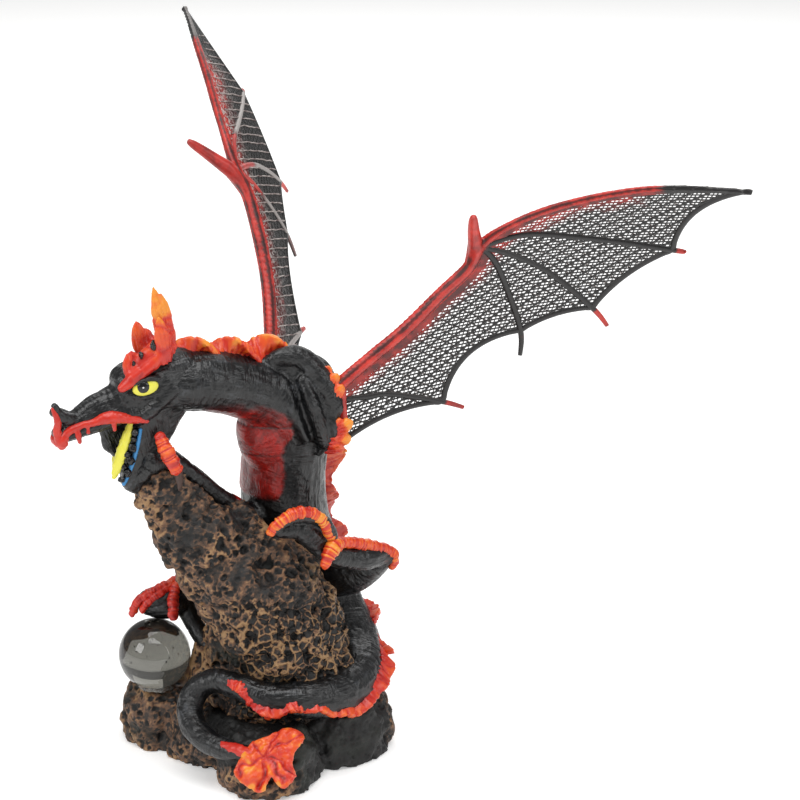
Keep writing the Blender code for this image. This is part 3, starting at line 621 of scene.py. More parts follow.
tree.links.new(bump.outputs["Normal"], shader.inputs["Normal"])

# The head: modelled with the casting as a wedge of a snout, a skull and a hanging
# jaw, each a smooth hull, with the dark web of the far cheek between the jaws.
HEAD_CELL = 0.38 * MM
SNOUT = ((33.0, 1.6, -2.8, 1.8), (33.6, 0.0, -4.2, 1.4), (27.5, 0.6, 0.3, 1.8), (21.0, 0.8, 1.8, 2.2),
         (15.0, 1.4, 1.6, 2.8), (28.0, 2.2, -3.4, 1.3), (20.0, 3.4, -4.2, 1.3), (12.5, 5.0, -3.4, 1.7))
SKULL = ((11.0, 1.4, 4.7, 3.9), (2.0, 2.5, 1.8, 6.4), (8.0, 3.4, 2.6, 3.4), (13.0, 3.4, 0.0, 2.6),
         (3.5, 4.2, -2.0, 4.0), (-4.0, 1.5, 1.5, 6.6), (-2.0, 2.0, -3.5, 6.0))
JAW = ((4.5, 4.6, -2.4, 3.2), (11.0, 4.2, -6.2, 1.6), (-0.5, 1.0, -6.0, 4.4), (4.5, 1.2, -9.4, 3.2),
       (13.4, 3.6, -12.0, 1.2), (9.6, 1.2, -14.6, 2.9), (14.2, 0.8, -20.4, 2.6), (18.6, 1.6, -21.0, 1.3),
       (18.4, 0.6, -24.4, 1.9), (17.0, 0.0, -26.2, 1.9))
FAR_CHEEK = ((20.0, -3.2, -7.4, 1.3), (20.4, -3.2, -13.0, 1.3), (17.6, -3.2, -17.4, 1.3),
             (10.0, -3.2, -4.6, 2.0), (10.0, -2.6, -13.0, 2.4))


def hull(name, stations, place, both=False):
    """One smooth form stretched over round ends; both puts each on both sides."""
    forms = []
    for forward, side, up, radius in stations:
        for mirrored in sorted({side, -side} if both else {side}):
            forms.append(egg(place(forward, mirrored, up), (radius * MM,) * 3, detail=3))
    made = join(name, forms)
    bpy.context.view_layer.objects.active = made
    made.select_set(True)
    bpy.ops.object.mode_set(mode="EDIT")
    bpy.ops.mesh.select_all(action="SELECT")
    bpy.ops.mesh.convex_hull()
    bpy.ops.object.mode_set(mode="OBJECT")
    made.select_set(False)
    return made


forms = [hull("snout", SNOUT, on_head, True), hull("skull", SKULL, on_head, True),
         hull("jaw", JAW, on_head, True), hull("far_cheek", FAR_CHEEK, on_head)]
for side in (-1.0, 1.0):
    # Nostril, the rims under and over the eye, and the cheek bone
    rise = 6.2 if side > 0.0 else 3.0
    forms += limb(((29.4, 1.6 * side, 0.6, 1.9), (31.8, 1.9 * side, 3.0, 1.6), (32.6, 1.9 * side, rise, 1.1)),
                  place=on_head)
    forms += limb(((12.6, 5.6 * side, 2.2, 0.8), (9.4, 6.6 * side, 0.9, 1.0), (5.2, 7.6 * side, 1.0, 1.1),
                   (1.8, 7.6 * side, 3.6, 1.0)), place=on_head)
    forms += limb(((12.6, 6.4 * side, 4.8, 0.6), (9.6, 7.4 * side, 5.6, 0.8), (6.4, 7.9 * side, 5.5, 0.9),
                   (3.6, 8.0 * side, 4.0, 0.7)), place=on_head)
    forms += limb(((12.0, 5.2 * side, -5.8, 1.5), (7.0, 6.6 * side, -3.0, 2.2), (1.0, 7.0 * side, 0.0, 2.4)),
                  place=on_head)
dragon_head = fuse("dragon_head", forms, HEAD_CELL)
head_limbs = (((*(on_head(-4.0, 0.0, 0.0) / MM), 1.0), (*(on_head(14.0, 0.0, 0.0) / MM), 1.0),
               (*(on_head(33.0, 0.0, -2.5) / MM), 1.0)),)
crease(dragon_head, flow_along(dragon_head, head_limbs), 1.6 * MM, 0.16 * MM, -0.25)
store(dragon_head, "belly", [0.0] * len(dragon_head.data.vertices))

for piece in (dragon_body, dragon_head):
    piece.data.materials.append(black_paint)
    piece.data.shade_smooth()
    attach(piece, "root")

# The fins and horns: thin forms of the casting, fluted from root to edge. They
# are painted signal red, brushed with orange and yellow towards their edges.
FLAME_CELL = 0.34 * MM
HORN_CELL = 0.28 * MM
# The twisted ribbon along the neck: its middle line and half its width
NECK_RIBBON = (
    (-26.6, -22.4, 119.0, 2.4), (-21.6, -21.6, 121.4, 3.2), (-16.5, -20.0, 121.8, 3.3),
    (-11.5, -17.2, 120.6, 3.2), (-7.0, -14.8, 120.0, 3.5), (-2.5, -12.2, 119.0, 3.6),
    (2.0, -9.6, 118.2, 4.2), (6.0, -6.8, 116.6, 4.4), (9.5, -4.0, 113.6, 3.6), (12.0, -1.6, 109.6, 2.4),
)
NECK_TWIST = 11.5
BACK_LOBES = (
    ((14.0, 9.0, 88.0), (23.5, 15.0, 91.0)), ((14.0, 11.0, 77.0), (25.0, 16.5, 80.0)),
    ((14.0, 14.0, 65.0), (22.0, 19.0, 66.5)), ((16.0, 19.0, 53.0), (24.0, 25.5, 54.0)),
    ((20.0, 17.0, 41.0), (26.8, 21.4, 41.6)), ((26.0, 9.0, 32.0), (34.0, 12.5, 34.0)),
    ((31.0, -2.0, 25.0), (38.0, -3.0, 27.0)),
)
# The ribbon along the tail: its middle line, which way it stands out, its share of the full width
TAIL_RIBBON = (
    ((31.0, 10.0, 29.2), (0.9, 0.4), 0.7), ((34.4, 0.5, 27.4), (1.0, 0.1), 1.0),
    ((36.6, -8.0, 24.4), (1.0, 0.0), 1.1), ((33.6, -18.0, 21.4), (0.9, -0.4), 1.0),
    ((28.6, -25.0, 18.6), (0.6, -0.8), 1.0), ((22.9, -29.2, 19.6), (0.4, -0.9), 1.0),
    ((18.7, -31.4, 21.6), (0.3, -1.0), 1.0), ((10.6, -34.2, 23.4), (0.1, -1.0), 1.1),
    ((3.9, -35.2, 21.2), (0.0, -1.0), 0.9), ((0.2, -34.6, 22.8), (0.0, -1.0), 0.8),
    ((-4.0, -32.6, 26.8), (-0.2, -1.0), 0.8), ((-8.2, -30.8, 28.6), (-0.3, -1.0), 0.3),
)
TAIL_LOBES = tuple(
    ((x - 2.0 * out_x * wide, y - 2.0 * out_y * wide, z + 2.0 * wide),
     (x + 1.1 * out_x * wide, y + 1.1 * out_y * wide, z - 1.9 * wide))
    for (x, y, z), (out_x, out_y), wide in TAIL_RIBBON)


def with_dips(lobes, share):
    """Adds a dip between each two lobes of a fin."""
    pairs = [lobes[0]]
    for (root, tip), (next_root, next_tip) in zip(lobes, lobes[1:]):
        low = (Vector(root) + Vector(next_root)) / 2.0
        high = (Vector(tip) + Vector(next_tip)) / 2.0
        pairs.append((tuple(low), tuple(low.lerp(high, share))))
        pairs.append((next_root, next_tip))
    return pairs


def twisted(ribbon, pitch):
    """Root and edge points of a ribbon that twists half a turn in each pitch."""
    path = smooth_path(ribbon, 5)
    pairs = []
    along = 0.0
    for index, station in enumerate(path):
        ahead = Vector(path[min(index + 1, len(path) - 1)][:3]) - Vector(path[max(index - 1, 0)][:3])
        along += ahead.length / 2.0
        side = ahead.cross(Vector((0.0, 0.0, 1.0))).normalized()
        rise = side.cross(ahead).normalized()
        angle = math.pi * along / pitch
        way = (rise * math.cos(angle) * 1.15 + side * math.sin(angle)) * station[3]
        pairs.append((tuple(Vector(station[:3]) - way), tuple(Vector(station[:3]) + way)))
    return pairs


def fin(name, pairs, thickness, sway, sway_length):
    """A wavy fin between a root line and an edge line, drawn in millimetres."""
    path = smooth_path([(*root, *tip) for root, tip in pairs], 12 if len(pairs) < 20 else 3)
    across = 12
    bpy.ops.mesh.primitive_grid_add(x_subdivisions=len(path) - 1, y_subdivisions=across, size=2.0)
    made = bpy.context.object
    along = 0.0
    places = []
    for index, station in enumerate(path):
        root = Vector(station[:3])
        tip = Vector(station[3:])
        ahead = Vector(path[min(index + 1, len(path) - 1)][:3]) - Vector(path[max(index - 1, 0)][:3])
        along += ahead.length / 2.0
        side = ahead.cross(tip - root).normalized()
        wave = math.sin(2.0 * math.pi * along / sway_length) * sway
        places.append([root.lerp(tip, share / across) + side * wave * (share / across) ** 1.2
                       for share in range(across + 1)])
    for vert in made.data.vertices:
        column = round((vert.co.x + 1.0) / 2.0 * (len(path) - 1))
        row = round((vert.co.y + 1.0) / 2.0 * across)
        vert.co = places[column][row] * MM
    made.select_set(False)
    apply_modifier(made, "SOLIDIFY", thickness=thickness * MM, offset=0.0)
    made.name = name
    return made


def flame(target, roots, height, flute, depth):
    """Flutes a fin or a horn from its root to its edge, and keeps how near the edge each point is."""
    tree = tree_of(roots)
    shares = []
    relief = []
    moves = []
    for vert in target.data.vertices:
        root, _, distance = tree.find(vert.co)
        way = (vert.co - root).normalized()
        turn = noise.noise_vector(vert.co / (5.0 * MM)) * 0.6
        across = (vert.co + turn * MM) - way * distance * 0.86
        wave = noise.noise(across / (flute * MM))
        fold = smoothstep(0.0, 0.3, abs(wave))
        shares.append(distance / (height * MM))
        relief.append(fold)
        moves.append(vert.normal * (fold - 0.7) * depth * MM)
    shift(target, moves)
    store(target, "share", shares)
    store(target, "relief", relief)


def root_line(pairs):
    """The smooth line through the roots of a fin's lobes."""
    path = smooth_path([(*root, *tip) for root, tip in pairs], 8)
    return [Vector(station[:3]) * MM for station in path]


def blade(root, tip, width, thickness, thin_way, place=at, twist=0.0):
    """A fluted leaf-shaped blade from its root to its tip, drawn in millimetres."""
    start = place(*root)
    along = place(*tip) - start
    bpy.ops.mesh.primitive_uv_sphere_add(segments=56, ring_count=36, radius=1.0)
    made = bpy.context.object
    z = along.normalized()
    x = (thin_way - z * thin_way.dot(z)).normalized()
    turn = Matrix((x, z.cross(x), z)).transposed().to_4x4()
    for vert in made.data.vertices:
        share = (vert.co.z + 1.0) / 2.0
        full = math.sin(math.pi * min(1.0, 0.24 + share * 0.76) ** 1.1) ** 0.62 * 1.04
        ring = math.sqrt(max(1e-6, 1.0 - vert.co.z ** 2))
        across = vert.co.y * full / ring * width / 2.0
        groove = 1.0 + 0.32 * math.cos(2.0 * math.pi * across / 1.15)
        thin = vert.co.x * full / ring * thickness / 2.0 * groove
        angle = twist * share
        vert.co = Vector(((thin * math.cos(angle) - across * math.sin(angle)) * MM,
                          (thin * math.sin(angle) + across * math.cos(angle)) * MM, share * along.length))
    made.data.transform(Matrix.Translation(start) @ turn)
    made.select_set(False)
    return made


flame_pieces = []
neck_ribbon = twisted(NECK_RIBBON, NECK_TWIST)
neck_line = [at(x, y, z - 3.4) for x, y, z, half in smooth_path(NECK_RIBBON, 8)]
forms = [fin("ribbon", neck_ribbon, 1.7, 0.0, 1.0)]
forms += limb([(x, y, z - 2.6, half * 0.55) for x, y, z, half in NECK_RIBBON], steps=8)
neck_crest = fuse("neck_crest", forms, FLAME_CELL)
flame(neck_crest, neck_line, 9.6, 1.15, 0.34)
flame_pieces.append(neck_crest)
for name, pairs, thickness, sway, sway_length, height in (
        ("back_crest", with_dips(BACK_LOBES, 0.62), 2.0, 1.3, 16.0, 17.0),
        ("tail_crest", TAIL_LOBES, 1.5, 0.9, 8.0, 9.0)):
    made = fuse(name, [fin(name, pairs, thickness, sway, sway_length)], FLAME_CELL)
    flame(made, root_line(pairs), height, 1.25, 0.45)
    flame_pieces.append(made)

# Flame tufts round the near wing root and behind the shoulder: root, tip and width
SHOULDER_TUFTS = (
    ((17.5, -8.5, 109.5), (20.5, -9.5, 114.0), 5.0), ((19.5, -9.0, 107.5), (22.8, -10.5, 112.0), 4.6),
    ((21.0, -9.5, 104.5), (24.2, -11.0, 109.0), 4.2), ((20.5, -10.5, 95.5), (27.0, -11.5, 98.5), 5.0),
    ((19.5, -10.5, 92.0), (26.5, -10.5, 93.5), 5.5), ((18.5, -9.0, 90.0), (25.0, -9.0, 90.0), 4.5),
)
forms = []
roots = []
for root, tip, width in SHOULDER_TUFTS:
    forms.append(blade(root, tip, width, 2.6, Vector((0.3, -0.9, 0.0))))
    roots.append(at(*root))
shoulder_tufts = fuse("shoulder_tufts", forms, FLAME_CELL)
flame(shoulder_tufts, roots, 6.5, 1.1, 0.5)
flame_pieces.append(shoulder_tufts)

# Brows that run back into the ear horns: the near horn is tall and split, the
# far one leans forwards
BROW_PLATE = ((10.2, 5.4, 8.2, 1.4), (8.4, 4.8, 10.4, 1.0), (4.0, 5.4, 11.4, 1.5), (0.4, 6.0, 13.4, 1.7),
              (4.0, 6.6, 8.6, 1.8), (8.6, 6.2, 6.8, 1.5))
# Each blade's root, tip, width and thickness, on the head
HORN_BLADES = (
    ((10.2, 5.2, 6.6), (8.4, 4.6, 14.0), 5.2, 1.8), ((-1.2, 6.2, 9.0), (-2.0, 6.6, 29.6), 4.8, 2.2),
    ((-2.4, 6.0, 10.0), (-3.7, 6.4, 27.0), 3.8, 2.0), ((0.6, 7.6, 7.6), (-0.4, 8.8, 21.6), 4.6, 1.9),
    ((2.4, -5.6, 6.0), (1.6, -6.2, 17.0), 4.8, 2.2), ((0.4, -5.6, 7.0), (-0.6, -6.2, 14.0), 4.4, 2.2),
)
forms = limb(((14.2, 5.6, 5.0, 1.2), (11.2, 6.1, 6.4, 1.9), (7.3, 6.5, 7.8, 2.0), (3.8, 6.7, 9.2, 2.0),
              (0.6, 6.9, 11.4, 2.0), (-1.4, 6.8, 14.6, 1.8)), place=on_head)
forms.append(hull("brow_plate", BROW_PLATE, on_head))
forms += limb(((5.0, -5.6, 6.6, 1.2), (1.6, -5.8, 8.0, 1.7), (-0.8, -5.8, 10.0, 1.5)), place=on_head)
roots = [on_head(forward, 6.6, up) for forward, up in ((15, 4), (12, 5), (9, 6), (6, 7), (3, 8), (0, 10))]
roots += [on_head(2.0, -6.0, 6.0), on_head(-1.0, -6.0, 8.0)]
for root, tip, width, thickness in HORN_BLADES:
    forms.append(blade(root, tip, width, thickness, HEAD_SIDE, on_head))
brow_horns = fuse("brow_horns", forms, HORN_CELL, 2)
flame(brow_horns, roots, 14.0, 1.0, 0.26)
flame_pieces.append(brow_horns)

# Red-orange acrylic: deep red in the flutes, orange and yellow at the edges
flame_paint, tree, shader = new_material("red_orange_acrylic", Roughness=0.36, IOR=1.5)
coordinates = node(tree, "ShaderNodeTexCoord")
share = node(tree, "ShaderNodeAttribute", attribute_name="share")
relief = node(tree, "ShaderNodeAttribute", attribute_name="relief")
strokes = node(tree, "ShaderNodeTexNoise",
               {"Vector": coordinates.outputs["Object"], "Scale": 420.0, "Detail": 4.0})
clouds = node(tree, "ShaderNodeTexNoise",
              {"Vector": coordinates.outputs["Object"], "Scale": 130.0, "Detail": 2.0})
reach = node(tree, "ShaderNodeMath", {0: share.outputs["Fac"], 1: 0.62, 2: -0.20}, operation="MULTIPLY_ADD")
raised = node(tree, "ShaderNodeMath", {0: relief.outputs["Fac"], 1: 0.22, 2: reach.outputs[0]},
              operation="MULTIPLY_ADD")
clouded = node(tree, "ShaderNodeMath", {0: clouds.outputs["Fac"], 1: 0.55, 2: raised.outputs[0]},
               operation="MULTIPLY_ADD")
stroked = node(tree, "ShaderNodeMath", {0: strokes.outputs["Fac"], 1: 0.35, 2: clouded.outputs[0]},
               operation="MULTIPLY_ADD")
flames = node(tree, "ShaderNodeValToRGB", {"Fac": stroked.outputs[0]})
colour_stops(flames, (0.12, "#4c0807"), (0.34, "#a81a15"), (0.62, "#c52e1c"), (0.86, "#d8531c"),
             (1.0, "#e08a2c"))
tree.links.new(flames.outputs["Color"], shader.inputs["Base Color"])
bump = node(tree, "ShaderNodeBump", {"Height": strokes.outputs["Fac"], "Strength": 0.4, "Distance": 0.3 * MM})
tree.links.new(bump.outputs["Normal"], shader.inputs["Normal"])

for piece in flame_pieces:
    piece.data.materials.append(flame_paint)
    piece.data.shade_smooth()
    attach(piece, "root")

# The eyes, the lips and the mouth: all of the casting, picked out in gloss paint; the white dot on each pupil
# is a painted highlight.
# The lip is a red bead with drips, the jaw has a yellow bed, black teeth and a
# blue gum.
LIP = ((34.2, 0.4, -4.2, 1.5), (33.6, 2.0, -4.0, 1.6), (31.0, 2.7, -1.8, 1.2), (27.1, 3.3, -1.4, 1.1),
       (23.8, 3.9, -1.8, 1.2), (20.9, 4.5, -1.6, 1.7), (18.2, 5.1, -2.2, 1.7), (14.7, 5.8, -3.9, 1.4),
       (10.4, 6.8, -6.2, 0.6))
LIP_DRIPS = (((28.9, 3.5, -2.0, 0.8), (29.2, 3.9, -4.2, 0.75), (29.3, 3.8, -5.4, 0.6)),
             ((26.0, 3.8, -1.8, 0.7), (26.3, 4.2, -3.6, 0.6)),
             ((18.9, 5.2, -2.6, 0.9), (19.3, 5.4, -5.4, 0.6)),
             ((33.4, 2.2, -4.6, 1.4), (33.8, 1.8, -5.6, 1.0)))
NOSE_RED = ((34.0, 1.8, -3.0, 1.3), (33.9, 2.0, -0.6, 1.1), (33.2, 2.7, 1.8, 1.0), (33.3, 2.7, 4.0, 0.8),
            (33.4, 2.4, 6.0, 0.5))
MOUTH_BED = ((13.9, 4.2, -5.4, 0.7), (16.2, 4.0, -9.2, 1.3), (18.9, 3.7, -13.2, 1.5),
             (21.4, 3.3, -17.2, 1.35), (22.8, 3.0, -19.4, 0.6))
GUM = ((12.4, 5.3, -8.5, 0.50), (14.3, 5.0, -12.4, 0.60), (16.8, 4.4, -16.8, 0.65), (19.2, 3.7, -20.3, 0.65),
       (20.7, 3.1, -22.4, 0.55))
LIP_CELL = 0.22 * MM
# Half of how far back the far side of the mouth's inside lies
FAR_SETBACK = 1.4
TEETH = ((14.2, 5.2, -8.6, 1.1), (15.0, 5.2, -10.3, 0.8), (16.0, 5.0, -12.6, 1.3), (18.0, 4.8, -13.6, 0.9),
         (17.5, 4.8, -16.0, 1.3), (19.6, 4.4, -17.0, 0.9), (19.2, 4.3, -19.2, 1.25), (21.2, 4.0, -20.6, 0.9))


def constant(target, **values):
    """Keeps the same numbers at every vertex of a piece."""
    for name, value in values.items():
        store(target, name, [value] * len(target.data.vertices))


def on_side(stations, side, setback=0.0):
    """Stations of the head's near side put on either side, those of the far one set back."""
    return [(forward + setback * (side - 1.0), sideways * side, up, radius)
            for forward, sideways, up, radius in stations]


def gloss_paint(name, colour, roughness=0.28):
    """A plain gloss enamel, with the thin streaks of a small brush."""
    made, tree, shader = new_material(name, Base_Color=linear(colour), Roughness=roughness, IOR=1.5)
    coordinates = node(tree, "ShaderNodeTexCoord")
    streaks = node(tree, "ShaderNodeTexNoise",
                   {"Vector": coordinates.outputs["Object"], "Scale": 900.0, "Detail": 3.0})
    bump = node(tree, "ShaderNodeBump",
                {"Height": streaks.outputs["Fac"], "Strength": 0.3, "Distance": 0.3 * MM})
    tree.links.new(bump.outputs["Normal"], shader.inputs["Normal"])
    return made


yellow_enamel = gloss_paint("yellow_gloss_enamel", "#dcd64c")
blue_enamel = gloss_paint("blue_gloss_enamel", "#2f7fb8")
black_enamel = gloss_paint("black_gloss_enamel", "#08080a", 0.2)
# A white dot for the glint on each pupil: a painted highlight
eye_glint_white = gloss_paint("painted_eye_glint", "#c8c8c4", 0.2)

detail_pieces = []
for side in (-1.0, 1.0):
    word = "left" if side > 0.0 else "right"
    front = on_head(11.6, 6.5 * side, 4.1)
    back = on_head(4.8, 7.7 * side, 3.5)
    along = (front - back).normalized()
    out = (HEAD_SIDE * side - along * along.dot(HEAD_SIDE * side)).normalized()
    turn = Matrix((along, out.cross(along), out)).transposed()
    middle = (front + back) / 2.0 + out * 0.25 * MM - HEAD_UP * 0.5 * MM
    eye = egg(middle, (3.6 * MM, 2.2 * MM, 1.05 * MM), turn, 5)
    eye.name = "eye_" + word
    eye.data.materials.append(yellow_enamel)
    pupil = egg(middle + along * 0.5 * MM + out * 0.35 * MM + HEAD_UP * 0.4 * MM,
                (1.95 * MM, 1.8 * MM, 0.98 * MM), turn, 4)
    pupil.name = "pupil_" + word
    pupil.data.materials.append(black_enamel)
    # The glint: a painted highlight, a white dot where the lamps would shine back off the pupil
    glint = egg(middle + along * 0.7 * MM + out * 1.25 * MM + HEAD_UP * 0.6 * MM, (0.28 * MM,) * 3, detail=3)
    glint.name = "glint_" + word
    glint.data.materials.append(eye_glint_white)
    detail_pieces += [eye, pupil, glint]
    if side > 0.0:
        for place, radius in (((2.6, 7.2, 13.6), 0.85), ((6.6, 6.5, 12.2), 0.62), ((9.2, 6.3, 10.8), 0.45)):
            socket = egg(on_head(*place), (radius * MM, radius * MM, radius * 1.6 * MM), detail=4)
            roughen(socket, 0.7 * MM, 0.5 * radius * MM)
            socket.name = "brow_socket"
            socket.data.materials.append(black_enamel)
            detail_pieces.append(socket)
    forms = limb(on_side(LIP, side), steps=10, place=on_head)
    for drip in LIP_DRIPS:
        forms += limb(on_side(drip, side), place=on_head)
    if side > 0.0:
        forms += limb(NOSE_RED, place=on_head)
    lip = fuse("lip_" + word, forms, LIP_CELL, 2)
    roughen(lip, 1.6 * MM, 0.16 * MM)
    constant(lip, share=0.20, relief=0.6)
    lip.data.materials.append(flame_paint)
    bed = join("mouth_bed_" + word, limb(on_side(MOUTH_BED, side, FAR_SETBACK), steps=10, place=on_head))
    roughen(bed, 1.2 * MM, 0.24 * MM)
    bed.data.materials.append(yellow_enamel)
    gum = join("gum_" + word, limb(on_side(GUM, side, FAR_SETBACK), steps=10, place=on_head))
    gum.data.materials.append(blue_enamel)
    teeth = join("teeth_" + word, [swelling((forward, sideways, up), (radius, radius, radius * 1.1), on_head)
                                   for forward, sideways, up, radius in on_side(TEETH, side, FAR_SETBACK)])
    roughen(teeth, 1.1 * MM, 0.34 * MM)
    teeth.data.materials.append(black_enamel)
    detail_pieces += [lip, bed, gum, teeth]

for piece in detail_pieces:
    piece.data.shade_smooth()
    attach(piece, "root")

# The toes and ridges: cast in one with the feet, ringed like beads, and brushed
# orange on the rings. The claw under the chin is bare brown.
TOE_RIDGE = ((4.6, -32.2, 73.4, 1.2), (7.2, -31.8, 76.2, 1.5), (11.4, -29.8, 78.1, 1.7),
             (15.8, -27.4, 77.1, 1.7), (19.0, -25.4, 73.6, 1.6), (20.6, -23.8, 69.2, 1.5),
             (21.8, -22.4, 65.8, 1.5))
SIDE_TOE = ((22.8, -22.0, 66.2, 2.0), (21.6, -24.6, 66.2, 2.2), (20.2, -26.4, 64.2, 2.0),
            (19.4, -27.2, 62.0, 1.3))
SHIN_RIDGE = ((23.0, -20.4, 66.2, 1.5), (27.5, -16.4, 64.4, 1.7), (32.0, -12.0, 61.8, 1.8),
              (36.0, -8.0, 59.2, 1.7), (38.2, -6.4, 56.8, 1.6), (38.0, -6.4, 53.8, 1.0))
FAR_TOES = (
    ((-18.6, 0.4, 49.4, 1.3), (-23.6, -2.0, 47.6, 1.5), (-27.4, -4.5, 46.6, 1.5), (-31.6, -6.0, 45.0, 1.4),
     (-34.8, -6.5, 42.4, 1.3), (-36.0, -6.5, 39.2, 1.0)),
    ((-23.6, -2.4, 47.6, 1.2), (-28.0, -6.0, 45.4, 1.3), (-31.6, -7.6, 43.0, 1.1), (-33.0, -8.0, 41.0, 0.8)),
    ((-20.8, -1.6, 49.0, 1.4), (-23.6, -5.0, 46.4, 1.5), (-24.2, -8.6, 43.4, 1.6), (-24.0, -10.6, 40.0, 1.3)),
    ((-20.4, -1.0, 48.8, 1.9), (-21.6, -2.6, 51.0, 1.6)),
)
CHIN_FINGER = ((-25.2, -31.0, 100.6, 1.5), (-23.8, -32.2, 97.6, 2.0), (-22.2, -32.6, 94.4, 2.0),
               (-21.0, -32.0, 91.6, 1.8))
CHIN_CLAW = ((-20.8, -31.8, 91.4, 1.3), (-20.2, -31.0, 88.6, 1.1), (-20.2, -30.4, 85.2, 0.5))


def ringed(name, stations, pitch=1.35, depth=0.11):
    """A finger with rings round it, and how far each point stands out on them."""
    path = smooth_path(stations, 30)
    radii = []
    rings = []
    reach = 0.0
    for index, station in enumerate(path):
        reach += (Vector(station[:3]) - Vector(path[max(index - 1, 0)][:3])).length
        wander = 1.1 * noise.noise(Vector((reach * 0.6, station[0], 0.0)))
        ring = abs(math.sin(math.pi * (reach / pitch + wander)))
        rings.append(ring)
        radii.append(station[3] * (1.0 - depth * 0.7 + depth * ring) * MM)
    places = [at(*station[:3]) for station in path]
    made = join(name, [tube(name, places, radii, 5), egg(places[0], (radii[0],) * 3, detail=3),
                       egg(places[-1], (radii[-1],) * 3, detail=3)])
    tree = tree_of(places)
    values = [rings[tree.find(vert.co)[1]] for vert in made.data.vertices]
    roughen(made, 1.4 * MM, 0.42 * MM)
    store(made, "relief", values)
    return made


for name, stations, glow in (
        ("toe_ridge", TOE_RIDGE, 0.62), ("side_toe", SIDE_TOE, 0.55), ("shin_ridge", SHIN_RIDGE, 0.50),
        ("far_toe_1", FAR_TOES[0], 0.26), ("far_toe_2", FAR_TOES[1], 0.22), ("far_toe_3", FAR_TOES[2], 0.24),
        ("far_toe_4", FAR_TOES[3], 0.24), ("chin_finger", CHIN_FINGER, 0.50)):
    piece = ringed(name, stations)
    glows = [glow * (0.35 + 0.9 * value.value) for value in piece.data.attributes["relief"].data]
    store(piece, "share", glows)
    piece.data.materials.append(flame_paint)
    piece.data.shade_smooth()
    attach(piece, "root")

claw = join("chin_claw", limb(CHIN_CLAW, steps=8))
roughen(claw, 1.2 * MM, 0.15 * MM)
claw.data.materials.append(gloss_paint("brown_satin_enamel", "#3b241a", 0.5))
claw.data.shade_smooth()
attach(claw, "root")

# The leaf at the end of the tail: a lobed flap of the casting, folded along its
# veins, orange with red in the folds.
LEAF_PLACE = at(1.0, -46.9, 9.5)
LEAF_ACROSS = Vector((0.985, -0.174, 0.0)).normalized()
LEAF_RISE = Vector((0.093, 0.529, 0.843)).normalized()
LEAF_OUTLINE = (
    (-2.5, 6.8), (2.3, 8.8), (6.9, 11.3), (11.2, 10.3), (12.2, 8.4), (10.1, 4.9), (9.8, 1.8), (10.7, -1.5),
    (8.3, -5.0), (6.2, -4.0), (4.6, -1.9), (3.2, -4.2), (2.2, -6.5), (-1.8, -5.7), (-6.0, -2.7), (-5.8, 0.4),
    (-4.2, 3.9),
)
LEAF_HEART = (2.0, 3.4)
VEIN_ENDS = ((10.8, 9.4), (11.0, -1.0), (7.6, -3.6), (1.0, -5.6), (-5.2, -1.6), (4.0, 9.6), (-3.0, 5.6))
LEAF_ROWS = 30
LEAF_THICKNESS = 1.1 * MM
LEAF_CELL = 0.26 * MM
STALK = ((-9.0, -40.5, 13.4, 1.6), (-4.6, -43.6, 13.6, 1.7), (-0.6, -46.0, 13.0, 1.6),
         (2.4, -47.4, 12.2, 1.2))
STALK_CELL = 0.4 * MM


def vein_distance(u, v):
    """How far a point of the leaf is from the nearest of its winding veins."""
    wind = noise.noise_vector(Vector((u * 0.28, v * 0.28, 2.0)))
    u += wind.x * 2.2
    v += wind.y * 2.2
    nearest = 1e9
    for end_u, end_v in VEIN_ENDS:
        span_u = end_u - LEAF_HEART[0]
        span_v = end_v - LEAF_HEART[1]
        t = ((u - LEAF_HEART[0]) * span_u + (v - LEAF_HEART[1]) * span_v) / (span_u ** 2 + span_v ** 2)
        t = min(1.0, max(0.0, t))
        nearest = min(nearest, math.hypot(u - LEAF_HEART[0] - t * span_u, v - LEAF_HEART[1] - t * span_v))
    return nearest


outline = smooth_path(LEAF_OUTLINE + LEAF_OUTLINE[:1], 9)[:-1]
bpy.ops.mesh.primitive_grid_add(x_subdivisions=len(outline), y_subdivisions=LEAF_ROWS, size=2.0)
leaf = bpy.context.object
for vert in leaf.data.vertices:
    column = round((vert.co.x + 1.0) / 2.0 * len(outline)) % len(outline)
    row = round((vert.co.y + 1.0) / 2.0 * LEAF_ROWS) / LEAF_ROWS
    u = LEAF_HEART[0] + (outline[column][0] - LEAF_HEART[0]) * row
    v = LEAF_HEART[1] + (outline[column][1] - LEAF_HEART[1]) * row
    wave = noise.noise(Vector((u * 0.30, v * 0.30, 4.0))) * 1.5 * row + 0.5 * noise.noise(Vector((u, v, 1.0)))
    fold = smoothstep(0.0, 1.4, vein_distance(u, v)) * 0.8
    fold += 0.35 * noise.noise(Vector((u * 1.3, v * 1.3, 9.0)))
    lift = 2.0 + fold * 1.3 + wave * 1.3 - 1.2 * row ** 3
    vert.co = LEAF_PLACE + (LEAF_ACROSS * u + LEAF_RISE * v + LEAF_ACROSS.cross(LEAF_RISE) * lift) * MM
leaf.select_set(False)
leaf.name = "tail_leaf"
bpy.context.view_layer.objects.active = leaf
leaf.select_set(True)
bpy.ops.object.mode_set(mode="EDIT")
bpy.ops.mesh.select_all(action="SELECT")
bpy.ops.mesh.remove_doubles(threshold=0.00002)
bpy.ops.mesh.normals_make_consistent(inside=False)
bpy.ops.object.mode_set(mode="OBJECT")
leaf.select_set(False)
apply_modifier(leaf, "SOLIDIFY", thickness=LEAF_THICKNESS, offset=0.0)
leaf = fuse("tail_leaf", [leaf], LEAF_CELL, 2)
shares = []
relief = []
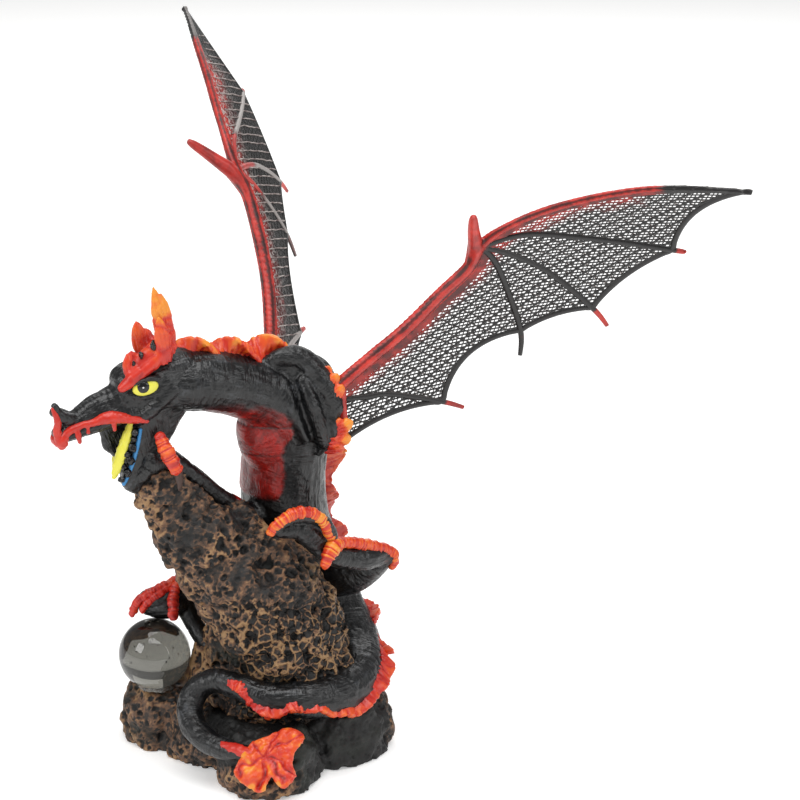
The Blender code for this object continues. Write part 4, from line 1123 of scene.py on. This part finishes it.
for vert in leaf.data.vertices:
    offset = (vert.co - LEAF_PLACE) / MM
    depth = smoothstep(0.05, 0.8, vein_distance(offset.dot(LEAF_ACROSS), offset.dot(LEAF_RISE)))
    shares.append(0.20 + 0.34 * depth + 0.50 * noise.noise(vert.co / (2.0 * MM)))
    relief.append(depth)
store(leaf, "share", shares)
store(leaf, "relief", relief)
stalk = fuse("leaf_stalk", limb(STALK), STALK_CELL, 2)
roughen(stalk, 1.5 * MM, 0.2 * MM)
constant(stalk, share=0.22, relief=0.6)
for piece in (leaf, stalk):
    piece.data.materials.append(flame_paint)
    piece.data.shade_smooth()
    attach(piece, "root")

# The glass ball: a solid clear marble with a few trapped bubbles, set in a ring
# of clear glue on the left boulder.
BALL_PLACE = at(-29.88, -6.05, 27.05)
BALL_RADIUS = 10.25 * MM
BUBBLE_TRIES = 44
COLLAR_RADIUS = 4.6 * MM
COLLAR_WALL = 0.9 * MM

bpy.ops.mesh.primitive_uv_sphere_add(segments=128, ring_count=64, radius=BALL_RADIUS)
ball = bpy.context.object
ball.data.transform(Matrix.Translation(BALL_PLACE))
ball.name = "clear_ball"
ball.select_set(False)
# Clear glass: a hard mirror of the lamps, with the rock upside down in it. Its grey
# stands for the dark side of a room, which this white studio doesn't have.
clear_glass, tree, shader = new_material("clear_glass", Base_Color=linear("#696862"), Roughness=0.0, IOR=1.5,
                                         Transmission_Weight=1.0)
ball.data.materials.append(clear_glass)
ball.data.shade_smooth()
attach(ball, "root")
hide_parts("glass_ball")

# Bubbles: trapped air, which throws the light back like beads of silver
bubbles = []
for index in range(BUBBLE_TRIES):
    way = Vector((
        noise.noise(Vector((index * 7.31, 0.5, 0.2))), noise.noise(Vector((index * 5.17, 9.5, 3.2))),
        noise.noise(Vector((index * 3.71, 4.5, 8.2))))) * 1.7
    if way.length < 0.86:
        bubbles.append(egg(BALL_PLACE + way * BALL_RADIUS, ((0.14 + 0.20 * abs(way.x)) * MM,) * 3, detail=2))
bubbles = join("bubbles", bubbles)
trapped_air, tree, shader = new_material("trapped_air", Base_Color=linear("#f4f6f4"), Roughness=0.12,
                                         Metallic=1.0)
bubbles.data.materials.append(trapped_air)
bubbles.data.shade_smooth()
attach(bubbles, "root")

# The ring of clear glue that holds the ball
bpy.ops.mesh.primitive_torus_add(major_radius=COLLAR_RADIUS, minor_radius=COLLAR_WALL, major_segments=72,
                                 minor_segments=16)
collar = bpy.context.object
collar.data.transform(Matrix.Translation(BALL_PLACE + at(0.6, 0.2, -9.3)))
collar.select_set(False)
roughen(collar, 2.4 * MM, 0.5 * MM)
collar.name = "glue_collar"
clear_glue, tree, shader = new_material("clear_glue", Base_Color=linear("#f2f0ea"), Roughness=0.08, IOR=1.46,
                                        Transmission_Weight=0.9)
collar.data.materials.append(clear_glue)
collar.data.shade_smooth()
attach(collar, "root")

# The wings: soft vinyl mouldings, each plugged into a shoulder. A thick arm and
# leading bone, a thumb spike and four flat fingers carry a pierced web, which
# has a solid band along the bones, a rim behind and fine ribs on its far face.
WINGS = {
    "left_wing": {"root": at(23.0, -9.2, 109.9), "along": Vector((0.951, -0.163, 0.263)),
                  "down": Vector((0.308, 0.418, -0.854)), "bow": -1.0, "red_reach": 2.0, "web_reach": 13.0},
    "right_wing": {"root": at(3.1, 11.0, 109.9), "along": Vector((-0.258, 0.845, 0.470)),
                   "down": Vector((0.428, 0.515, -0.743)), "bow": 1.0, "red_reach": 16.0, "web_reach": 25.0},
}
WING_ROOT = (-48.3, 24.7)
ROOT_END = (-52.3, 43.0)
WRIST = (-0.4, 1.0)
WING_TIP = (73.6, 2.6)
ARM = ((-48.3, 26.2), (-38.9, 23.0), (-27.0, 18.7), (-13.6, 11.6), (-5.0, 6.6), WRIST)
LEADING_EDGE = (WRIST, (8.0, -2.9), (24.2, -5.3), (49.0, -4.1), WING_TIP)
THUMB = ((-4.6, 6.4, 0.0), (-1.6, 1.0, 0.5), (0.6, -7.6, 2.6), (2.4, -13.6, 4.4), (3.2, -15.6, 5.2))
FINGERS = (
    ((0.0, 1.0), (12.0, 1.6), (25.8, 8.4), (48.5, 20.8), (51.6, 22.2)),
    ((0.0, 1.0), (6.5, 7.2), (14.0, 17.2), (22.0, 34.0), (24.3, 41.4)),
    ((0.0, 1.0), (1.8, 8.0), (2.0, 18.3), (1.4, 33.8), (-1.0, 41.6)),
    ((-48.7, 31.4), (-43.0, 34.0), (-37.2, 36.6), (-25.0, 46.0), (-20.2, 50.4)),
)
TRAILING_PULL = (4.6, 1.8, 1.5, 5.6, 2.2)
ARM_RADIUS = 1.9
FRONT_TAPER = (1.06, 1.0, 1.0, 0.98, 0.94, 0.82, 0.62, 0.60, 0.50, 0.36)
FINGER_RADIUS = 0.86
FINGER_TAPER = (1.1, 1.1, 1.05, 1.0, 0.75)
RIM_RADIUS = 0.85
THUMB_TAPER = (1.7, 2.2, 1.8, 1.35, 0.8)
ROOT_TAPER = (2.0, 1.5, 1.0)
BONE_CELL = 0.42 * MM
# The web: long diamond holes in rows that rise towards the tip, with a thicker
# bar after every second row
WEB_RISE = math.radians(-20.0)
WEB_CROSSING = math.radians(33.0)
WEB_SPACING = 1.02
WEB_PAIR = 2.56
BAR_WIDTH = 0.25
PAIR_WIDTH = 0.42
BAR_THICKNESS = 0.34
# The ribs lean outwards; their pitch is taken along the span
RIB_PITCH = 3.4
RIB_LEAN = 0.774
RIB_WIDTH = 0.26
RIB_THICKNESS = 0.30
RIB_LIFT = -0.32


def wing_axes(wing):
    """Along the span, down to the trailing edge, and out of the bowed face."""
    along = wing["along"].normalized()
    down = (wing["down"] - along * wing["down"].dot(along)).normalized()
    return along, down, along.cross(down) * wing["bow"]


def cup(p, q):
    """How far the wing bows out of its flat drawing, in millimetres."""
    return -0.170 * p - 0.0775 * q + 0.00226 * p * p - 0.00115 * p * q + 0.00271 * q * q


def on_wing(wing, p, q, lift=0.0):
    """A point of a wing, drawn flat in millimetres from its wrist."""
    along, down, face = wing_axes(wing)
    rise = cup(p, q) - cup(*WING_ROOT) + lift
    return wing["root"] + (along * (p - WING_ROOT[0]) + down * (q - WING_ROOT[1]) + face * rise) * MM


def trailing_edge():
    """Points from the wing tip back to the root end, drawn in between the fingers."""
    ends = [WING_TIP] + [finger[-2] for finger in FINGERS] + [ROOT_END]
    points = []
    for (p0, q0), (p1, q1), pull in zip(ends, ends[1:], TRAILING_PULL):
        chord = math.hypot(p1 - p0, q1 - q0)
        inward = ((q1 - q0) / chord, -(p1 - p0) / chord)
        if inward[1] > 0.0:
            inward = (-inward[0], -inward[1])
        for step in range(12):
            t = step / 12.0
            draw = 4.0 * t * (1.0 - t) * pull
            points.append((p0 + (p1 - p0) * t + inward[0] * draw, q0 + (q1 - q0) * t + inward[1] * draw))
    points.append(ROOT_END)
    return points


def edge_distance(point, line):
    """How far a point is from a closed line, less than nothing outside it."""
    x, y = point
    crossings = 0
    nearest = 1e9
    for (x0, y0), (x1, y1) in zip(line, line[1:] + line[:1]):
        if (y0 > y) != (y1 > y) and x < x0 + (y - y0) * (x1 - x0) / (y1 - y0):
            crossings += 1
        span = max((x1 - x0) ** 2 + (y1 - y0) ** 2, 1e-9)
        t = min(1.0, max(0.0, ((x - x0) * (x1 - x0) + (y - y0) * (y1 - y0)) / span))
        nearest = min(nearest, math.hypot(x - x0 - t * (x1 - x0), y - y0 - t * (y1 - y0)))
    return nearest if crossings % 2 else -nearest


front_line = smooth_path(ARM, 8)[:-1] + smooth_path(LEADING_EDGE, 10)
web_outline = front_line + trailing_edge()[1:]


def bar_runs(slope, pitch, first, last):
    """Straight runs across the web, at a slope, cut off at its edge."""
    runs = []
    stride = 0.42 / math.hypot(1.0, slope)
    for index in range(math.floor(first / pitch), math.ceil(last / pitch)):
        run = []
        for step in range(round(132.0 / stride)):
            p = -56.0 + step * stride
            point = (p, index * pitch + slope * p)
            if point[1] < -8.0 or point[1] > 52.0 or edge_distance(point, web_outline) < 0.25:
                if len(run) > 2:
                    runs.append(run)
                run = []
            else:
                run.append(point)
        if len(run) > 2:
            runs.append(run)
    return runs


def rib_runs(pitch):
    """Runs from the leading edge to the trailing edge, for the ribs."""
    runs = []
    for index in range(-26, 24):
        run = []
        for step in range(150):
            point = (index * pitch + RIB_LEAN * (step * 0.4 - 8.0), -8.0 + step * 0.4)
            point = (point[0] + 0.45 * noise.noise(Vector((point[0] * 0.3, point[1] * 0.3, index))), point[1])
            nearest = min(math.hypot(point[0] - p, point[1] - q) for p, q in front_line[::3])
            if edge_distance(point, web_outline) < 0.4 or nearest < 4.5:
                if len(run) > 2:
                    runs.append(run)
                run = []
            else:
                run.append(point)
        if len(run) > 2:
            runs.append(run)
    return runs


def bars(name, wing, runs, width, thickness, lift, every=7):
    """Flat four-sided bars along runs of points on a wing."""
    made = bmesh.new()
    for run in runs:
        kept = run[::every]
        if kept[-1] != run[-1]:
            kept.append(run[-1])
        (p0, q0), (p1, q1) = run[0], run[-1]
        length = math.hypot(p1 - p0, q1 - q0)
        side = (-(q1 - q0) / length * width / 2.0, (p1 - p0) / length * width / 2.0)
        rings = []
        for p, q in kept:
            corners = [(p + side[0] * a, q + side[1] * a, lift + b * thickness / 2.0)
                       for a, b in ((-1, -1), (1, -1), (1, 1), (-1, 1))]
            rings.append([made.verts.new(on_wing(wing, *corner)) for corner in corners])
        for ring, ahead in zip(rings, rings[1:]):
            for corner in range(4):
                after = (corner + 1) % 4
                made.faces.new((ring[corner], ring[after], ahead[after], ahead[corner]))
        made.faces.new(rings[0][::-1])
        made.faces.new(rings[-1])
    bmesh.ops.recalc_face_normals(made, faces=made.faces)
    mesh = bpy.data.meshes.new(name)
    made.to_mesh(mesh)
    made.free()
    piece = bpy.data.objects.new(name, mesh)
    bpy.context.collection.objects.link(piece)
    return piece


def wing_tube(wing, stations, radii, steps=6, flat=1.0):
    """A bone of a wing, drawn on it; flat below 1 makes it a strip."""
    path = smooth_path([(*station, 0.0)[:3] + (radius,) for station, radius in zip(stations, radii)], steps)
    places = [on_wing(wing, *station[:3]) for station in path]
    made = tube("bone", places, [station[3] * MM for station in path], 4)
    if flat < 1.0:
        face = wing["along"].cross(wing["down"]).normalized()
        tree = tree_of(places)
        for vert in made.data.vertices:
            centre = tree.find(vert.co)[0]
            vert.co -= face * (vert.co - centre).dot(face) * (1.0 - flat)
    return made


def front_band(wing):
    """The solid band of the web along the arm and the leading bone."""
    across = 6
    bpy.ops.mesh.primitive_grid_add(x_subdivisions=len(front_line) - 1, y_subdivisions=across, size=2.0)
    made = bpy.context.object
    for vert in made.data.vertices:
        index = round((vert.co.x + 1.0) / 2.0 * (len(front_line) - 1))
        share = (vert.co.y + 1.0) / 2.0
        p0, q0 = front_line[max(index - 1, 0)]
        p1, q1 = front_line[min(index + 1, len(front_line) - 1)]
        chord = math.hypot(p1 - p0, q1 - q0)
        p, q = front_line[index]
        width = 3.9 - 1.9 * smoothstep(-12.0, 20.0, p) - 1.0 * smoothstep(50.0, 72.0, p)
        vert.co = on_wing(wing, p - (q1 - q0) / chord * width * share, q + (p1 - p0) / chord * width * share)
    made.select_set(False)
    apply_modifier(made, "SOLIDIFY", thickness=0.75 * MM, offset=0.0)
    return made


def flat_place(wing, place):
    """Where a point of a wing lies on its flat drawing."""
    along, down, _ = wing_axes(wing)
    offset = (place - wing["root"]) / MM
    return offset.dot(along) + WING_ROOT[0], offset.dot(down) + WING_ROOT[1]


def paint_wing(target, wing, rule, rubbed=0.0, groove_shade=None):
    """Keeps how dark each point is, 0 for red to 1 for dark grey, plus any painted shade in the grooves of a
    bone, and how rubbed its far face is.
    """
    _, _, face = wing_axes(wing)
    darks = []
    pales = []
    for vert in target.data.vertices:
        dark = rule(*flat_place(wing, vert.co))
        far = smoothstep(0.2, -0.5, vert.normal.dot(face))
        darks.append(dark * (1.0 - 0.6 * far * rubbed) + (groove_shade[vert.index] if groove_shade else 0.0))
        pales.append(far * rubbed * smoothstep(0.15, 0.9, dark))
    store(target, "dark", darks)
    store(target, "pale", pales)


def flute_bone(target, wing, path, count, depth):
    """Flutes a bone of the wing lengthwise, and returns the shade painted into each groove: how much darker
    it is.
    """
    places = [on_wing(wing, *station) for station in path]
    tree = tree_of(places)
    face = wing["along"].cross(wing["down"]).normalized()
    moves = []
    groove_shade = []
    for vert in target.data.vertices:
        centre, index, _ = tree.find(vert.co)
        ahead = (places[min(index + 1, len(places) - 1)] - places[max(index - 1, 0)]).normalized()
        offset = vert.co - centre
        angle = math.atan2(offset.dot(face), offset.dot(ahead.cross(face)))
        wander = 1.2 * noise.noise(centre / (14.0 * MM))
        flute = math.cos(count * angle + wander) * 0.6 + math.cos((2 * count + 1) * angle) * 0.4
        moves.append(vert.normal * flute * depth * MM)
        # Painted shade: the bottom of each flute is coloured darker, as if in shadow
        near = smoothstep(3.2 * MM, 2.2 * MM, offset.length)
        groove_shade.append(0.30 * near * smoothstep(0.2, -0.8, math.cos(count * angle + wander)))
    shift(target, moves)
    return groove_shade


def front_dark(p, q):
    """The arm and the leading bone are red, and dark grey near the tip."""
    return smoothstep(50.0, 58.0, p)


def finger_dark(p, q, red_reach):
    """The fingers are red near the wrist and at their claws, and dark grey between."""
    claw = smoothstep(0.0, 1.5, -edge_distance((p, q), web_outline)) * (0.5 if -4.0 < p < 3.0 else 1.0)
    if q > 30.0 and p < -15.0:
        return 0.85 * (1.0 - claw)
    return smoothstep(red_reach - 2.0, red_reach + 4.0, math.hypot(p, q)) * (1.0 - claw)


def web_dark(p, q, web_reach):
    """Red near the bones in front, dark behind them."""
    nearest = min(math.hypot(p - p0, q - q0) for p0, q0 in front_line)
    return max(0.02 + 0.98 * smoothstep(1.5, web_reach, nearest), smoothstep(40.0, 54.0, p))


web_bars = []
for angle in (WEB_RISE + WEB_CROSSING, WEB_RISE - WEB_CROSSING):
    web_bars += bar_runs(math.tan(angle), WEB_SPACING / math.cos(angle), -60.0, 150.0)
pair_bars = bar_runs(math.tan(WEB_RISE), WEB_PAIR / math.cos(WEB_RISE), -30.0, 80.0)
rib_lines = rib_runs(RIB_PITCH)

# Pigmented soft vinyl: red at the bones, dark grey over the web, with a waxy
# sheen and the mottle of hand-sprayed paint
vinyl, tree, shader = new_material("pigmented_soft_vinyl", Roughness=0.42, IOR=1.52)
coordinates = node(tree, "ShaderNodeTexCoord")
# dark holds the paint from red to dark grey, and the painted shade in the bones' grooves
dark = node(tree, "ShaderNodeAttribute", attribute_name="dark")
mottle = node(tree, "ShaderNodeTexNoise",
              {"Vector": coordinates.outputs["Object"], "Scale": 260.0, "Detail": 4.0})
spray = node(tree, "ShaderNodeTexNoise",
             {"Vector": coordinates.outputs["Object"], "Scale": 70.0, "Detail": 2.0})
mottled = node(tree, "ShaderNodeMath", {0: mottle.outputs["Fac"], 1: 0.75, 2: dark.outputs["Fac"]},
               operation="MULTIPLY_ADD")
sprayed = node(tree, "ShaderNodeMath", {0: spray.outputs["Fac"], 1: 0.30, 2: mottled.outputs[0]},
               operation="MULTIPLY_ADD")
wing_colours = node(tree, "ShaderNodeValToRGB", {"Fac": sprayed.outputs[0]})
colour_stops(wing_colours, (0.38, "#c8362a"), (0.56, "#aa241c"), (0.76, "#5c1512"), (1.0, "#141212"))
pale = node(tree, "ShaderNodeAttribute", attribute_name="pale")
worn = node(tree, "ShaderNodeAttribute", attribute_name="worn")
dots = node(tree, "ShaderNodeTexNoise",
            {"Vector": coordinates.outputs["Object"], "Scale": 950.0, "Detail": 1.0})
dotted = node(tree, "ShaderNodeMapRange", {"Value": dots.outputs["Fac"], "From Min": 0.51, "From Max": 0.56})
bare = node(tree, "ShaderNodeMath", {0: dotted.outputs[0], 1: worn.outputs["Fac"], 2: pale.outputs["Fac"]},
            operation="MULTIPLY_ADD")
rubbed = node(tree, "ShaderNodeMix", {"Factor": bare.outputs[0], "A": wing_colours.outputs["Color"],
                                      "B": linear("#aea6a2")}, data_type="RGBA")
tree.links.new(rubbed.outputs["Result"], shader.inputs["Base Color"])
bump = node(tree, "ShaderNodeBump", {"Height": mottle.outputs["Fac"], "Strength": 0.35, "Distance": 0.3 * MM})
tree.links.new(bump.outputs["Normal"], shader.inputs["Normal"])

# The ribs on the far face are rubbed back to a pale pinkish grey
rubbed_vinyl, tree, shader = new_material("rubbed_pale_vinyl", Roughness=0.5, IOR=1.52)
coordinates = node(tree, "ShaderNodeTexCoord")
wear = node(tree, "ShaderNodeTexNoise",
            {"Vector": coordinates.outputs["Object"], "Scale": 300.0, "Detail": 3.0})
pales = node(tree, "ShaderNodeValToRGB", {"Fac": wear.outputs["Fac"]})
colour_stops(pales, (0.35, "#5a4442"), (0.65, "#b4aba6"))
tree.links.new(pales.outputs["Color"], shader.inputs["Base Color"])

for name, wing in WINGS.items():
    front = wing_tube(wing, ARM + LEADING_EDGE[1:], [ARM_RADIUS * share for share in FRONT_TAPER], 8)
    root = wing_tube(wing, (WING_ROOT, (-50.3, 33.0), ROOT_END), ROOT_TAPER, 6)
    thumb = wing_tube(wing, THUMB, THUMB_TAPER, 6)
    tip = wing_tube(wing, (LEADING_EDGE[-1], (75.2, 3.4)), (0.95, 0.7), 4)
    bones = fuse(name + "_bones", [front, root, thumb, tip], BONE_CELL, 2)
    # The bones' grooves get painted shade through their dark number
    paint_wing(bones, wing, front_dark, 0.3, flute_bone(bones, wing, front_line, 4, 0.24))
    radii = [FINGER_RADIUS * share for share in FINGER_TAPER]
    forms = [wing_tube(wing, points, radii, 8, 0.75) for points in FINGERS]
    fingers = join(name + "_fingers", forms)
    paint_wing(fingers, wing, lambda p, q: finger_dark(p, q, wing["red_reach"]), 0.7)
    rim = wing_tube(wing, trailing_edge(), [RIM_RADIUS] * len(trailing_edge()), 2, 0.6)
    rim.name = name + "_rim"
    paint_wing(rim, wing, lambda p, q: 0.95)
    band = front_band(wing)
    band.name = name + "_band"
    paint_wing(band, wing, lambda p, q: 0.22 + 0.6 * front_dark(p, q))
    web = join(name + "_web", [bars("crossed_bars", wing, web_bars, BAR_WIDTH, BAR_THICKNESS, 0.0),
                               bars("pair_bars", wing, pair_bars, PAIR_WIDTH, BAR_THICKNESS, 0.04)])
    paint_wing(web, wing, lambda p, q: web_dark(p, q, wing["web_reach"]))
    worn = [1.0 - web_dark(*flat_place(wing, vert.co), 18.0) if wing["bow"] > 0.0 else 0.0
            for vert in web.data.vertices]
    store(web, "worn", worn)
    ribs = bars(name + "_ribs", wing, rib_lines, RIB_WIDTH, RIB_THICKNESS, RIB_LIFT, 4)
    for piece in (bones, fingers, rim, band, web):
        piece.data.materials.append(vinyl)
    ribs.data.materials.append(rubbed_vinyl)
    for piece in (bones, fingers, rim):
        piece.data.shade_smooth()
    for piece in (bones, fingers, rim, band, web, ribs):
        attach(piece, "root")
    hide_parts(name)
